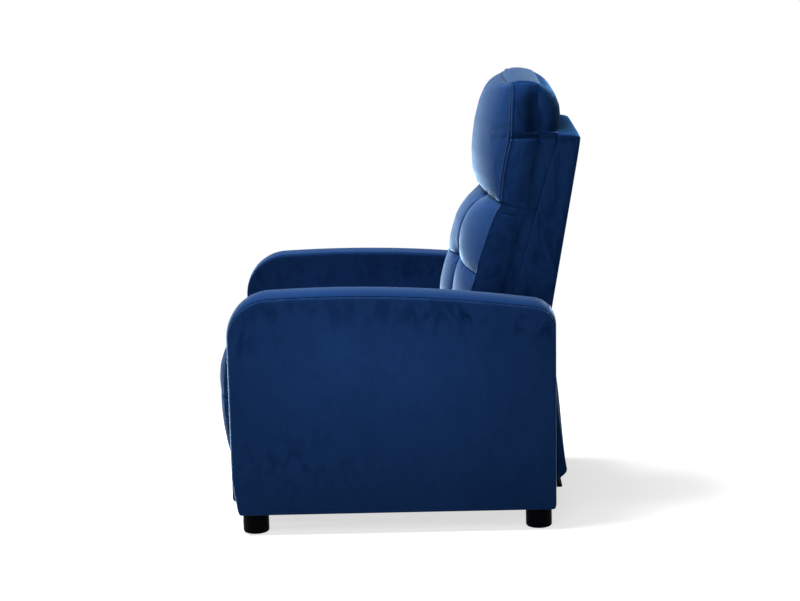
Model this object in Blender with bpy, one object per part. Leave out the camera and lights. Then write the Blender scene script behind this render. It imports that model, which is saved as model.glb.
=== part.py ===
"""Push-back recliner: two upholstered arms, a tufted reclining back and an unfolding footrest.

The chair faces -Y, +X is the sitter's left, +Z is up and the floor is Z = 0. All lengths are metres.
The seat rides on four parallel swing links, and the back and the footrest move with it.
"""
import math

import bpy
import bmesh
from mathutils import Matrix, Vector
from mathutils.geometry import convex_hull_2d, tessellate_polygon

# Gap left between two pieces that touch
TOUCH = 0.0003
# Edges turned by more than this stay sharp, in radians
SHARP_ANGLE = 0.9
# Faces turned by less than this count as one plane, in radians
FLAT_ANGLE = 0.01

# Arms
CLEAR_WIDTH = 0.490
ARM_THICKNESS = 0.090
ARM_FRONT_Y = -0.366
ARM_REAR_Y = 0.339
ARM_BOTTOM_Z = 0.048
ARM_CREST_Y = -0.090
ARM_CREST_Z = 0.540
ARM_CREST_BOW = 0.20
ARM_FRONT_RADIUS = 0.090
ARM_REAR_RADIUS = 0.040
ARM_LOW_FRONT_RADIUS = 0.024
ARM_LOW_REAR_RADIUS = 0.012
ARM_BOARD_THICKNESS = 0.030
ARM_BAND_WIDTH = 0.058
ARM_BAND_DEPTH = 0.022
ARM_BAND_CROWN = 0.009
ARM_FACE_ROUND = 0.006
ARM_FACE_FALL = 0.014

# Feet
FOOT_RADIUS = 0.0285
FOOT_EDGE = 0.006
FOOT_FRONT_Y = -0.320
FOOT_REAR_Y = 0.302

# Fixed cross rails between the arms
FRONT_RAIL_Y = -0.360
FRONT_RAIL_DEPTH = 0.030
FRONT_RAIL_TOP_Z = 0.110
REAR_RAIL_Y = 0.168
REAR_RAIL_DEPTH = 0.040
REAR_RAIL_TOP_Z = 0.088
RAIL_BOTTOM_Z = 0.055

# Steel link plates, stacked from the arm inwards
PLATE_THICKNESS = 0.003
PLATE_PITCH = 0.0038
LINK_RADIUS = 0.011
PIN_RADIUS = 0.0045
PIN_CLEARANCE = 0.0002
PIN_HEAD_RADIUS = 0.0075
PIN_HEAD = 0.0014
PIN_SIDES = 12
EYE_RIM = 0.004
BASE_PLATE_EDGE = 0.018
BASE_PLATE_REACH = 0.020
BASE_PLATE_RISE = 0.006

# Swing links that carry the seat
SWING_LENGTH = 0.110
SWING_LEAN = math.radians(30.0)
SWING_BASE_Z = 0.125
SWING_FRONT_Y = -0.160
SWING_REAR_Y = 0.000
SWING_HORN = 0.030

# Back pivot and the link that leans the back
BACK_PIVOT = Vector((0.130, 0.335))
BACK_LUG = Vector((0.160, 0.293))
BACK_DRIVE_BASE = Vector((0.104, 0.102))
BACK_DRIVE_PLAY = 0.0020
BACK_BRACKET_LOW = Vector((0.115, -0.020))
BACK_BRACKET_HIGH = Vector((0.132, 0.060))
BACK_BRACKET_EDGE = 0.014

# Footrest linkage: two parallelograms in a row
FOOT_LINK_PIVOT = Vector((-0.270, 0.300))
FOOT_LINK_DROP = Vector((0.070, -0.170))
FOOT_LINK_GAP = 0.045
FOOT_LINK_GAP_ANGLE = math.radians(22.6)
FOOT_CARRIER_REACH = Vector((-0.115, 0.105))
FOOT_TILT_ARM = Vector((-0.002, 0.045))
FOOT_CRANK = 0.022
FOOT_DRIVE_PLAY = 0.0085
FOOT_BRACKET_BELOW = 0.050
FOOT_BRACKET_ABOVE = 0.030
FOOT_FLANGE_WIDTH = 0.034
FOOT_FLANGE_END = 0.006

# Seat
SEAT_RAIL_TOP_Z = 0.3597
SEAT_RAIL_HEIGHT = 0.0227
SEAT_RAIL_DEPTH = 0.030
SEAT_REAR_RAIL_INSET = 0.010
SEAT_PLATE_DROP = 0.003
SEAT_PLATE_NECK = Vector((-0.020, 0.002))
SEAT_PLATE_CORNER = 0.008
SEAT_FRONT_Y = -0.325
SEAT_REAR_Y = 0.105
SEAT_CUSHION_FRONT_Y = -0.331
SEAT_CUSHION_REAR_Y = 0.090
SEAT_CUSHION_TOP_Z = 0.420
SEAT_CUSHION_CROWN = 0.030
CUSHION_SIDE_GAP = 0.007
CUSHION_PINCH = 0.012
SEAM_WIDTH = 0.013
SPRING_COUNT = 3
SPRING_PITCH = 0.110
SPRING_WIRE_RADIUS = 0.0019
SPRING_WAVES = 9
SPRING_SWING = 0.022
SPRING_WAVE_STEPS = 5
SPRING_CROWN = 0.0045
SPRING_END_SHARE = 6
FLAP_RAIL_Y = 0.330
FLAP_RAIL_DEPTH = 0.025
FLAP_RAIL_BOTTOM_Z = 0.095
FLAP_RAIL_TOP_Z = 0.145

# Footrest
FOOT_BOARD_Y = -0.335
FOOT_BOARD_THICKNESS = 0.012
FOOT_BOARD_INSET = 0.013
FOOT_BOARD_BOTTOM_Z = 0.130
FOOT_BOARD_TOP_Z = 0.385
FOOT_PAD_BOTTOM_Z = 0.116
FOOT_PAD_TOP_Z = 0.400
FOOT_PAD_EDGE = 0.030
FOOT_PAD_CROWN = 0.026
FOOT_PAD_CHANNEL_Z = 0.282
FOOT_PAD_CHANNEL = 0.007

# Back: the rear face and the seam plane in front of the frame, as height and lean
BACK_SIDE_GAP = 0.005
BACK_REAR_Y = 0.337
BACK_REAR_Z = 0.499
BACK_REAR_LEAN = 0.184
BACK_SEAM_Y = 0.258
BACK_SEAM_Z = 0.511
BACK_SEAM_LEAN = 0.290
BACK_REAR_CROWN = 0.006
BACK_COVER_WALL = 0.012
BACK_COVER_BOTTOM_Z = 0.460
BACK_COVER_ROWS = 4
BACK_COVER_COLUMNS = 6
BACK_CORNER = 0.012
BACK_FRAME_BOTTOM_Z = 0.300
BACK_STILE_WIDTH = 0.036
BACK_RAIL_HEIGHT = 0.045
BACK_TOP_Z = 0.857
BACK_TOP_PAD = 0.012
BACK_TOP_SLOPE = 0.007
BACK_TOP_FALL = 0.008

# Lumbar cushion and head pillow
LUMBAR_BOTTOM_Z = 0.400
LUMBAR_TOP_Z = 0.720
LUMBAR_SIDE_Y = 0.165
LUMBAR_SIDE_Z = 0.517
LUMBAR_SIDE_LEAN = 0.333
LUMBAR_FOOT_LEAN = 0.05
LUMBAR_CROWN = 0.060
LUMBAR_PINCH = 0.008
TUFT_X = 0.100
TUFT_Z = 0.572
TUFT_SEAM = 0.009
TUFT_PULL = 0.012
PILLOW_TOP_Z = 0.969
PILLOW_TOP_DRAW = 0.034
PILLOW_BOTTOM_Z = 0.7215
PILLOW_SEAM_TOP_Y = 0.262
PILLOW_SEAM_FOOT_Y = 0.232
PILLOW_CROWN = 0.073
PILLOW_REAR_Y = 0.317
PILLOW_REAR_CROWN = 0.052
PILLOW_TOP_GAP = 0.002
PILLOW_LEDGE = 0.006
PILLOW_SIDE_SWELL = 0.012
PILLOW_FOOT_TUCK = 0.4

# Flap that hangs below the back, and its fastening strip
FLAP_BOTTOM_Z = 0.092
FLAP_THICKNESS = 0.004
FLAP_FLARE = 0.045
FLAP_BULGE = 0.010
FLAP_SIDE_GAP = 0.013
STRIP_SIDE_GAP = 0.045
STRIP_BOTTOM_Z = 0.062
STRIP_THICKNESS = 0.0035

INNER_X = CLEAR_WIDTH / 2
OUTER_X = INNER_X + ARM_THICKNESS
ARM_MID_X = (INNER_X + OUTER_X) / 2
CUSHION_HALF_WIDTH = INNER_X - CUSHION_SIDE_GAP
BACK_HALF_WIDTH = INNER_X - BACK_SIDE_GAP
BACK_FRAME_TOP_Z = BACK_TOP_Z - BACK_TOP_PAD
FLAP_HALF_WIDTH = INNER_X - FLAP_SIDE_GAP
STRIP_HALF_WIDTH = INNER_X - STRIP_SIDE_GAP
SIDES = (("left", 1), ("right", -1))


def clear_scene():
    for obj in list(bpy.data.objects):
        bpy.data.objects.remove(obj, do_unlink=True)


def material(name, color, roughness, metallic=0.0):
    mat = bpy.data.materials.get(name)
    if mat is None:
        mat = bpy.data.materials.new(name)
        mat.use_nodes = True
        shader = mat.node_tree.nodes["Principled BSDF"]
        shader.inputs["Base Color"].default_value = (*color, 1.0)
        shader.inputs["Roughness"].default_value = roughness
        shader.inputs["Metallic"].default_value = metallic
    return mat


def velvet():
    return material("blue_velvet", (0.012, 0.036, 0.115), 0.75)


def wood():
    return material("frame_wood", (0.45, 0.30, 0.17), 0.7)


def steel():
    return material("link_steel", (0.10, 0.10, 0.11), 0.4, 0.9)


def black_plastic():
    return material("black_plastic", (0.010, 0.010, 0.011), 0.45)


def black_tape():
    return material("black_tape", (0.008, 0.008, 0.009), 0.9)


def joint_empty(name, pivot, parent=None):
    """Empty on a joint's axis. The pivot is given as world (Y, Z); the axis runs along X."""
    empty = bpy.data.objects.new(name, None)
    bpy.context.collection.objects.link(empty)
    empty["world"] = (0.0, pivot[0], pivot[1])
    base = Vector(parent["world"]) if parent else Vector((0, 0, 0))
    empty.parent = parent
    empty.location = Vector(empty["world"]) - base
    return empty


def add_object(name, bm, mat, carrier, smooth=None):
    """Turn a bmesh in world coordinates into an object hung on its carrier empty."""
    bmesh.ops.recalc_face_normals(bm, faces=bm.faces)
    mesh = bpy.data.meshes.new(name)
    bm.to_mesh(mesh)
    bm.free()
    mesh.transform(Matrix.Translation(-Vector(carrier["world"])))
    mesh.materials.append(mat)
    if smooth is not None:
        mesh.shade_smooth()
        mesh.set_sharp_from_angle(angle=smooth)
    obj = bpy.data.objects.new(name, mesh)
    bpy.context.collection.objects.link(obj)
    obj.parent = carrier
    return obj


def loft(rings, strip=False):
    """Closed solid through rings of equal length, capped at both ends.

    With strip, the last cap is a strip of quads between the two halves of its ring.
    """
    bm = bmesh.new()
    rows = [[bm.verts.new(p) for p in ring] for ring in rings]
    count = len(rows[0])
    for low, high in zip(rows, rows[1:]):
        for i in range(count):
            j = (i + 1) % count
            bm.faces.new((low[i], low[j], high[j], high[i]))
    bm.faces.new(rows[0])
    last = rows[-1]
    if strip:
        for i in range(count // 2 - 1):
            bm.faces.new((last[i], last[i + 1], last[count - 2 - i], last[count - 1 - i]))
    else:
        bm.faces.new(last)
    return bm


def slab(outline, x0, x1):
    """An outline of (Y, Z) points, extruded along X."""
    return loft([[Vector((x, y, z)) for y, z in outline] for x in (x0, x1)])


def box(x0, x1, y0, y1, z0, z1):
    return slab(((y0, z0), (y1, z0), (y1, z1), (y0, z1)), x0, x1)


def arc(center, radius, start, stop, steps):
    points = []
    for k in range(steps + 1):
        a = math.radians(start + (stop - start) * k / steps)
        points.append((center[0] + radius * math.cos(a), center[1] + radius * math.sin(a)))
    return points


def circle(center, radius, sides=PIN_SIDES):
    return arc(center, radius, 0, 360 * (1 - 1 / sides), sides - 1)


def rounded_hull(centers, radius, sides=16):
    """Outline drawn round a set of points at one radius, as a link's edge runs round its holes."""
    cloud = [Vector(p) for c in centers for p in circle(c, radius, sides)]
    return [tuple(cloud[i]) for i in convex_hull_2d(cloud)]


def plate(outline, layer, holes=(), pins=()):
    """Link plate on one layer, counted inwards from the arm, as a bmesh on the +X side.

    holes holds (centre, radius). pins holds (centre, layers crossed): positive runs inwards.
    A pin ends in a rivet head behind the last plate that it crosses.
    """
    outer = INNER_X - TOUCH - layer * PLATE_PITCH
    faces_x = (outer - PLATE_THICKNESS, outer)
    bm = bmesh.new()
    loops = [list(outline)] + [circle(c, r) for c, r in holes]
    pin_loops = {-1: [], 1: []}
    for center, layers in pins:
        side = -1 if layers > 0 else 1
        pin_loops[side].append((circle(center, PIN_RADIUS), center, abs(layers)))
    walls = {}
    for side, x in zip((-1, 1), faces_x):
        polygon = loops + [ring for ring, center, layers in pin_loops[side]]
        flat = [Vector((y, z, 0.0)) for ring in polygon for y, z in ring]
        verts = [bm.verts.new((x, p.x, p.y)) for p in flat]
        rings = [[Vector((y, z, 0.0)) for y, z in ring] for ring in polygon]
        for tri in tessellate_polygon(rings):
            bm.faces.new([verts[i] for i in tri])
        walls[side] = verts
        start = sum(len(ring) for ring in loops)
        for ring, center, layers in pin_loops[side]:
            foot = verts[start:start + len(ring)]
            start += len(ring)
            add_pin(bm, foot, center, x, side, layers)
    start = 0
    for ring in loops:
        count = len(ring)
        for i in range(count):
            j = (i + 1) % count
            low, high = walls[-1], walls[1]
            bm.faces.new((low[start + i], low[start + j], high[start + j], high[start + i]))
        start += count
    return bm


def add_pin(bm, foot, center, x, side, layers):
    """Rivet shank and head raised from a plate's face."""
    shank = x + side * (layers * PLATE_PITCH + (PLATE_PITCH - PLATE_THICKNESS) / 2)
    head = shank + side * PIN_HEAD
    ring = foot
    for radius, level in ((PIN_RADIUS, shank), (PIN_HEAD_RADIUS, shank), (PIN_HEAD_RADIUS, head)):
        above = [bm.verts.new((level, y, z)) for y, z in circle(center, radius)]
        for i in range(len(ring)):
            j = (i + 1) % len(ring)
            bm.faces.new((ring[i], ring[j], above[j], above[i]))
        ring = above
    bm.faces.new(ring)


def add_pair(name, make, mat, carrier, smooth=None):
    """The same piece on the left and, mirrored, on the right."""
    for suffix, sign in SIDES:
        bm = make()
        bmesh.ops.scale(bm, vec=(sign, 1, 1), verts=bm.verts)
        add_object(f"{name}_{suffix}", bm, mat, carrier, smooth)


def hole_radius():
    return PIN_RADIUS + PIN_CLEARANCE


def offset(point, dy, dz):
    return (point[0] + dy, point[1] + dz)


def fillet(points, radius, steps=2, room=0.45):
    """Polygon with its corners rounded by short arcs, each within its room, a share of the edge."""
    result = []
    count = len(points)
    for i, corner in enumerate(points):
        here = Vector(corner)
        back = Vector(points[i - 1]) - here
        ahead = Vector(points[(i + 1) % count]) - here
        reach = min(radius, back.length * room, ahead.length * room)
        first = here + back.normalized() * reach
        last = here + ahead.normalized() * reach
        for k in range(steps + 1):
            t = k / steps
            bend = first * (1 - t) ** 2 + here * 2 * t * (1 - t) + last * t ** 2
            result.append(tuple(bend))
    return result


def rear_y(z):
    return BACK_REAR_Y + BACK_REAR_LEAN * (z - BACK_REAR_Z)


def seam_y(z):
    return BACK_SEAM_Y + BACK_SEAM_LEAN * (z - BACK_SEAM_Z)


def swing_top(base_y):
    return Vector((base_y + SWING_LENGTH * math.sin(SWING_LEAN),
                   SWING_BASE_Z + SWING_LENGTH * math.cos(SWING_LEAN)))


def swing_horn():
    """Pin at the tip of the front swing link, past the seat."""
    lean = Vector((math.sin(SWING_LEAN), math.cos(SWING_LEAN)))
    return swing_top(SWING_FRONT_Y) + lean * SWING_HORN


def foot_link_points():
    """Pivots of the footrest linkage at rest, by name."""
    gap = Vector((-math.cos(FOOT_LINK_GAP_ANGLE), math.sin(FOOT_LINK_GAP_ANGLE))) * FOOT_LINK_GAP
    knee = FOOT_LINK_PIVOT + FOOT_LINK_DROP
    turn = knee + FOOT_CARRIER_REACH
    return {
        "main": FOOT_LINK_PIVOT,
        "guide": FOOT_LINK_PIVOT + gap,
        "knee": knee,
        "guide_knee": knee + gap,
        "tilt": knee + FOOT_TILT_ARM,
        "turn": turn,
        "tilt_turn": turn + FOOT_TILT_ARM,
        "crank": FOOT_LINK_PIVOT + FOOT_LINK_DROP.normalized() * FOOT_CRANK,
    }


def arm_path(inset):
    """Arm side outline from the lower front corner, over the crest, to the lower rear corner."""
    front = ARM_FRONT_Y + inset
    rear = ARM_REAR_Y - inset

    def crest(y):
        return ARM_CREST_Z - ARM_CREST_BOW * (y - ARM_CREST_Y) ** 2 - inset

    front_y = ARM_FRONT_Y + ARM_FRONT_RADIUS
    rear_edge_y = ARM_REAR_Y - ARM_REAR_RADIUS
    front_radius = ARM_FRONT_RADIUS - inset
    rear_radius = ARM_REAR_RADIUS - inset
    low_front = ARM_LOW_FRONT_RADIUS
    low_rear = ARM_LOW_REAR_RADIUS
    path = arc((front + low_front, ARM_BOTTOM_Z + low_front), low_front, 265, 180, 2)
    path += arc((front_y, crest(front_y) - front_radius), front_radius, 180, 90, 6)
    for k in range(1, 6):
        y = front_y + (rear_edge_y - front_y) * k / 6
        path.append((y, crest(y)))
    path += arc((rear_edge_y, crest(rear_edge_y) - rear_radius), rear_radius, 90, 0, 3)
    path += arc((rear - low_rear, ARM_BOTTOM_Z + low_rear), low_rear, 0, -85, 2)
    return path


def arm_rings(stations):
    return [[Vector((x, y, z)) for y, z in arm_path(inset)] for x, inset in stations]


def arm_board():
    half = ARM_BOARD_THICKNESS / 2
    inset = ARM_BAND_DEPTH + TOUCH
    return loft(arm_rings(((ARM_MID_X - half, inset), (ARM_MID_X + half, inset))))


def arm_face_pad(side):
    """Padded cover on one face of the arm: it fills the step beside the band and rounds at its edge."""
    board = ARM_MID_X + side * (ARM_BOARD_THICKNESS / 2 + TOUCH)
    band = ARM_MID_X + side * (ARM_BAND_WIDTH / 2 + TOUCH)
    face = ARM_MID_X + side * ARM_THICKNESS / 2
    under = ARM_BAND_DEPTH + TOUCH
    edge = ARM_BAND_CROWN
    stations = [(board, under), (band, under), (band, edge)]
    for across, along in arc((-1, 1), 1, -90, 0, 2):
        stations.append((face + side * ARM_FACE_ROUND * across, edge + ARM_FACE_FALL * along))
    return loft(arm_rings(stations))


def arm_band():
    """Boxing strip that runs up the front, over the crest and down the rear of the arm."""
    half = ARM_BAND_WIDTH / 2
    section = [(s, ARM_BAND_CROWN * s * s) for s in (-1.0, -0.5, 0.0, 0.5, 1.0)]
    section += [(1.0, ARM_BAND_DEPTH), (-1.0, ARM_BAND_DEPTH)]
    paths = [(ARM_MID_X + s * half, arm_path(inset)) for s, inset in section]
    rings = []
    for i in range(len(paths[0][1])):
        rings.append([Vector((x, *path[i])) for x, path in paths])
    return loft(rings)


def foot(y):
    top = ARM_BOTTOM_Z - TOUCH
    profile = arc((FOOT_RADIUS - FOOT_EDGE, FOOT_EDGE), FOOT_EDGE, -90, 0, 2)
    profile.append((FOOT_RADIUS, top))
    rings = []
    for radius, z in profile:
        rings.append([Vector((ARM_MID_X + dx, y + dy, z)) for dx, dy in circle((0, 0), radius, 20)])
    return loft(rings)


def build_base(base):
    add_pair("arm_board", arm_board, wood(), base)
    add_pair("arm_outer_pad", lambda: arm_face_pad(1), velvet(), base, SHARP_ANGLE)
    add_pair("arm_inner_pad", lambda: arm_face_pad(-1), velvet(), base, SHARP_ANGLE)
    add_pair("arm_band", arm_band, velvet(), base, SHARP_ANGLE)
    add_pair("front_foot", lambda: foot(FOOT_FRONT_Y), black_plastic(), base, SHARP_ANGLE)
    add_pair("rear_foot", lambda: foot(FOOT_REAR_Y), black_plastic(), base, SHARP_ANGLE)
    half = INNER_X - TOUCH
    for name, y, depth, top, mat in (
            ("front_rail", FRONT_RAIL_Y, FRONT_RAIL_DEPTH, FRONT_RAIL_TOP_Z, velvet()),
            ("rear_rail", REAR_RAIL_Y, REAR_RAIL_DEPTH, REAR_RAIL_TOP_Z, wood())):
        rail = box(-half, half, y - depth / 2, y + depth / 2, RAIL_BOTTOM_Z, top)
        add_object(name, rail, mat, base)
    front = (SWING_FRONT_Y, SWING_BASE_Z)
    rear = (SWING_REAR_Y, SWING_BASE_Z)
    drive = tuple(BACK_DRIVE_BASE)
    ends = (offset(front, -BASE_PLATE_REACH, 0.0), rear, offset(drive, 0.0, BASE_PLATE_RISE))
    outline = rounded_hull(ends, BASE_PLATE_EDGE)
    pins = ((front, 1), (rear, 1), (drive, 2))
    add_pair("base_plate", lambda: plate(outline, 0, (), pins), steel(), base)


def build_swing_links(front_carrier, rear_carrier):
    for name, base_y, carrier in (("front", SWING_FRONT_Y, front_carrier),
                                  ("rear", SWING_REAR_Y, rear_carrier)):
        low = (base_y, SWING_BASE_Z)
        top = swing_top(base_y)
        ends = [low, top]
        holes = [(low, hole_radius())]
        if name == "front":
            ends.append(swing_horn())
            holes.append((swing_horn(), hole_radius()))
        outline = rounded_hull(ends, LINK_RADIUS)
        add_pair(f"{name}_swing_link", lambda: plate(outline, 1, holes, [(top, 2)]), steel(), carrier)


def build_drive_links(back_carrier, foot_carrier):
    ends = (BACK_DRIVE_BASE, BACK_LUG)
    holes = ((BACK_DRIVE_BASE, hole_radius()), (BACK_LUG, hole_radius() + BACK_DRIVE_PLAY))
    outline = rounded_hull(ends, LINK_RADIUS)
    add_pair("back_drive_link", lambda: plate(outline, 2, holes), steel(), back_carrier)
    crank = foot_link_points()["crank"]
    eye = hole_radius() + FOOT_DRIVE_PLAY
    cloud = rounded_hull((swing_horn(),), LINK_RADIUS) + rounded_hull((crank,), eye + EYE_RIM)
    outline = [cloud[i] for i in convex_hull_2d([Vector(p) for p in cloud])]
    add_pair("footrest_drive_link", lambda: plate(outline, 2, [(crank, eye)], [(swing_horn(), -1)]),
             steel(), foot_carrier)


def seat_plate_outline():
    """Side plate of the seat: a bar with two swing lugs, a back lug and a tail to the flap rail."""
    pivots = foot_link_points()
    main, guide = pivots["main"], pivots["guide"]
    front, rear = swing_top(SWING_FRONT_Y), swing_top(SWING_REAR_Y)
    tail = (FLAP_RAIL_Y, (FLAP_RAIL_BOTTOM_Z + FLAP_RAIL_TOP_Z) / 2)
    bar_top = SEAT_RAIL_TOP_Z - SEAT_PLATE_DROP
    bar_low = main[1] - LINK_RADIUS
    r = LINK_RADIUS
    c = SEAT_PLATE_CORNER
    return fillet([
        (guide[0] - r, bar_top), offset(guide, -r, -r), tuple(main + SEAT_PLATE_NECK),
        offset(main, 0.0, -r), (front[0] - 2 * r, bar_low), offset(front, -r, -r), offset(front, r, -r),
        (front[0] + 2 * r, bar_low), (rear[0] - 2 * r, bar_low), offset(rear, -r, -r),
        offset(rear, r, -r), offset(tail, -c, -r), offset(tail, r, -c), offset(tail, r, r),
        offset(rear, 2 * r, r), (rear[0] + 3 * r, bar_low), offset(BACK_PIVOT, r, -r),
        offset(BACK_PIVOT, r, r), offset(BACK_PIVOT, -r, r), (BACK_PIVOT[0] - 3 * r, bar_top),
    ], c)


def build_seat(seat):
    pivots = foot_link_points()
    outline = seat_plate_outline()
    holes = [(swing_top(y), hole_radius()) for y in (SWING_FRONT_Y, SWING_REAR_Y)]
    pins = [(pivots["main"], 1), (pivots["guide"], 1), (BACK_PIVOT, 1)]
    add_pair("seat_plate", lambda: plate(outline, 3, holes, pins), steel(), seat)
    side_x = INNER_X - TOUCH - 3 * PLATE_PITCH - PLATE_THICKNESS - TOUCH
    inner_x = side_x - SEAT_RAIL_DEPTH
    low = SEAT_RAIL_TOP_Z - SEAT_RAIL_HEIGHT
    add_pair("seat_side_rail",
             lambda: box(inner_x, side_x, SEAT_FRONT_Y, SEAT_REAR_Y, low, SEAT_RAIL_TOP_Z), wood(), seat)
    cross_x = inner_x - TOUCH
    rear_end = SEAT_REAR_Y - SEAT_REAR_RAIL_INSET
    for name, y0 in (("seat_front_rail", SEAT_FRONT_Y), ("seat_rear_rail", rear_end - SEAT_RAIL_DEPTH)):
        rail = box(-cross_x, cross_x, y0, y0 + SEAT_RAIL_DEPTH, low, SEAT_RAIL_TOP_Z)
        add_object(name, rail, wood(), seat)
    first_y = SEAT_FRONT_Y + SEAT_RAIL_DEPTH + TOUCH
    last_y = rear_end - SEAT_RAIL_DEPTH - TOUCH
    for k in range(SPRING_COUNT):
        x = (k - (SPRING_COUNT - 1) / 2) * SPRING_PITCH
        add_seat_spring(f"seat_spring_{k + 1}", x, first_y, last_y, low + SEAT_RAIL_HEIGHT / 2, seat)
    add_seat_cushion(seat)
    half = side_x
    rail = box(-half, half, FLAP_RAIL_Y - FLAP_RAIL_DEPTH / 2, FLAP_RAIL_Y + FLAP_RAIL_DEPTH / 2,
               FLAP_RAIL_BOTTOM_Z, FLAP_RAIL_TOP_Z)
    add_object("flap_rail", rail, wood(), seat)
    face = FLAP_RAIL_Y + FLAP_RAIL_DEPTH / 2 + TOUCH
    strip = box(-STRIP_HALF_WIDTH, STRIP_HALF_WIDTH, face, face + STRIP_THICKNESS,
                STRIP_BOTTOM_Z, FLAP_RAIL_TOP_Z)
    add_object("flap_strip", strip, black_tape(), seat)


def add_seat_spring(name, x, first_y, last_y, z, seat):
    """Zigzag wire spring from the front rail to the rear rail of the seat."""
    count = SPRING_WAVES * SPRING_WAVE_STEPS
    curve = bpy.data.curves.new(name, "CURVE")
    curve.dimensions = "3D"
    curve.bevel_depth = SPRING_WIRE_RADIUS
    curve.bevel_resolution = 0
    curve.use_fill_caps = True
    spline = curve.splines.new("POLY")
    spline.points.add(count)
    base = Vector(seat["world"])
    for k in range(count + 1):
        t = k / count
        fade = min(1.0, SPRING_END_SHARE * t, SPRING_END_SHARE * (1 - t))
        sway = SPRING_SWING * math.sin(math.pi * SPRING_WAVES * t) * fade
        rise = SPRING_CROWN * math.sin(math.pi * t)
        point = Vector((x + sway, first_y + (last_y - first_y) * t, z + rise))
        spline.points[k].co = (*(point - base), 1.0)
    curve.materials.append(steel())
    obj = bpy.data.objects.new(name, curve)
    bpy.context.collection.objects.link(obj)
    obj.parent = seat


def crown(s, power=3.0, flatness=0.6):
    """Cushion swell across a width: 1 in the middle, 0 at both edges."""
    return max(0.0, 1.0 - abs(s) ** power) ** flatness


def groove(distance, width):
    """Depth share of a sewn seam at a distance from its line."""
    return math.exp(-(distance / width) ** 2)


def spread(count, ease=0.5):
    """Grid lines from -1 to 1, closer together near the edges."""
    lines = []
    for k in range(count + 1):
        t = 2 * k / count - 1
        lines.append((1 - ease) * t + ease * math.sin(math.pi / 2 * t))
    return lines


def quilt(us, vs, under, face, place, side_swell):
    """Closed cushion between two surfaces over a grid, with a middle ring round its sides.

    under and face give the depth at (u, v), and place turns (u, v, depth) into a point.
    side_swell moves the middle ring out, or in where it is negative.
    """
    bm = bmesh.new()
    sheets = []
    for depth in (under, face):
        sheets.append([[bm.verts.new(place(u, v, depth(u, v))) for v in vs] for u in us])
    for sheet in sheets:
        for i in range(len(us) - 1):
            for j in range(len(vs) - 1):
                bm.faces.new((sheet[i][j], sheet[i + 1][j], sheet[i + 1][j + 1], sheet[i][j + 1]))
    last_u, last_v = len(us) - 1, len(vs) - 1
    border = [(i, 0) for i in range(last_u)] + [(last_u, j) for j in range(last_v)]
    border += [(i, last_v) for i in range(last_u, 0, -1)] + [(0, j) for j in range(last_v, 0, -1)]
    middle = []
    for i, j in border:
        u, v = us[i], vs[j]
        half = (under(u, v) + face(u, v)) / 2
        middle.append(bm.verts.new(place(u * (1 + side_swell), v * (1 + side_swell), half)))
    for k, (i, j) in enumerate(border):
        n = (k + 1) % len(border)
        m, q = border[n]
        bm.faces.new((sheets[0][i][j], sheets[0][m][q], middle[n], middle[k]))
        bm.faces.new((middle[k], middle[n], sheets[1][m][q], sheets[1][i][j]))
    flat = [v for row in sheets[0][1:-1] for v in row[1:-1]]
    bmesh.ops.dissolve_limit(bm, angle_limit=FLAT_ANGLE, verts=flat, edges=[])
    return bm


def add_seat_cushion(seat):
    mid_y = (SEAT_CUSHION_FRONT_Y + SEAT_CUSHION_REAR_Y) / 2
    half_y = (SEAT_CUSHION_REAR_Y - SEAT_CUSHION_FRONT_Y) / 2
    half_x = CUSHION_HALF_WIDTH

    def under(u, v):
        return SEAT_RAIL_TOP_Z + TOUCH

    def face(u, v):
        return SEAT_CUSHION_TOP_Z + SEAT_CUSHION_CROWN * crown(u) * crown(v)

    def place(u, v, w):
        return Vector((u * half_x, mid_y + v * half_y, w))

    bm = quilt(spread(10), spread(10), under, face, place, -CUSHION_PINCH)
    add_object("seat_cushion", bm, velvet(), seat, SHARP_ANGLE)


def build_footrest_links(main, guide, carrier, tilt):
    p = foot_link_points()
    hole = hole_radius()
    outline = rounded_hull((p["main"], p["knee"], p["tilt"]), LINK_RADIUS)
    pins = ((p["knee"], 1), (p["tilt"], 1), (p["crank"], -2))
    add_pair("footrest_main_link", lambda: plate(outline, 4, [(p["main"], hole)], pins), steel(), main)
    guide_line = rounded_hull((p["guide"], p["guide_knee"]), LINK_RADIUS)
    add_pair("footrest_guide_link",
             lambda: plate(guide_line, 4, [(p["guide"], hole)], [(p["guide_knee"], 1)]), steel(), guide)
    carrier_line = rounded_hull((p["knee"], p["guide_knee"], p["turn"]), LINK_RADIUS)
    carrier_holes = [(p["knee"], hole), (p["guide_knee"], hole)]
    add_pair("footrest_carrier_link",
             lambda: plate(carrier_line, 5, carrier_holes, [(p["turn"], 1)]), steel(), carrier)
    tilt_line = rounded_hull((p["tilt"], p["tilt_turn"]), LINK_RADIUS)
    add_pair("footrest_tilt_link",
             lambda: plate(tilt_line, 5, [(p["tilt"], hole)], [(p["tilt_turn"], 1)]), steel(), tilt)


def footrest_bracket():
    """Angle bracket: a web on the links and a flange, raised from its front edge, behind the board."""
    p = foot_link_points()
    front_y = FOOT_BOARD_Y + TOUCH
    edge_y = front_y + LINK_RADIUS
    outline = rounded_hull((p["turn"], p["tilt_turn"], (edge_y, p["turn"][1] - FOOT_BRACKET_BELOW),
                            (edge_y, p["tilt_turn"][1] + FOOT_BRACKET_ABOVE)), LINK_RADIUS)
    holes = [(p["turn"], hole_radius()), (p["tilt_turn"], hole_radius())]
    return plate(outline, 6, holes)


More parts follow.
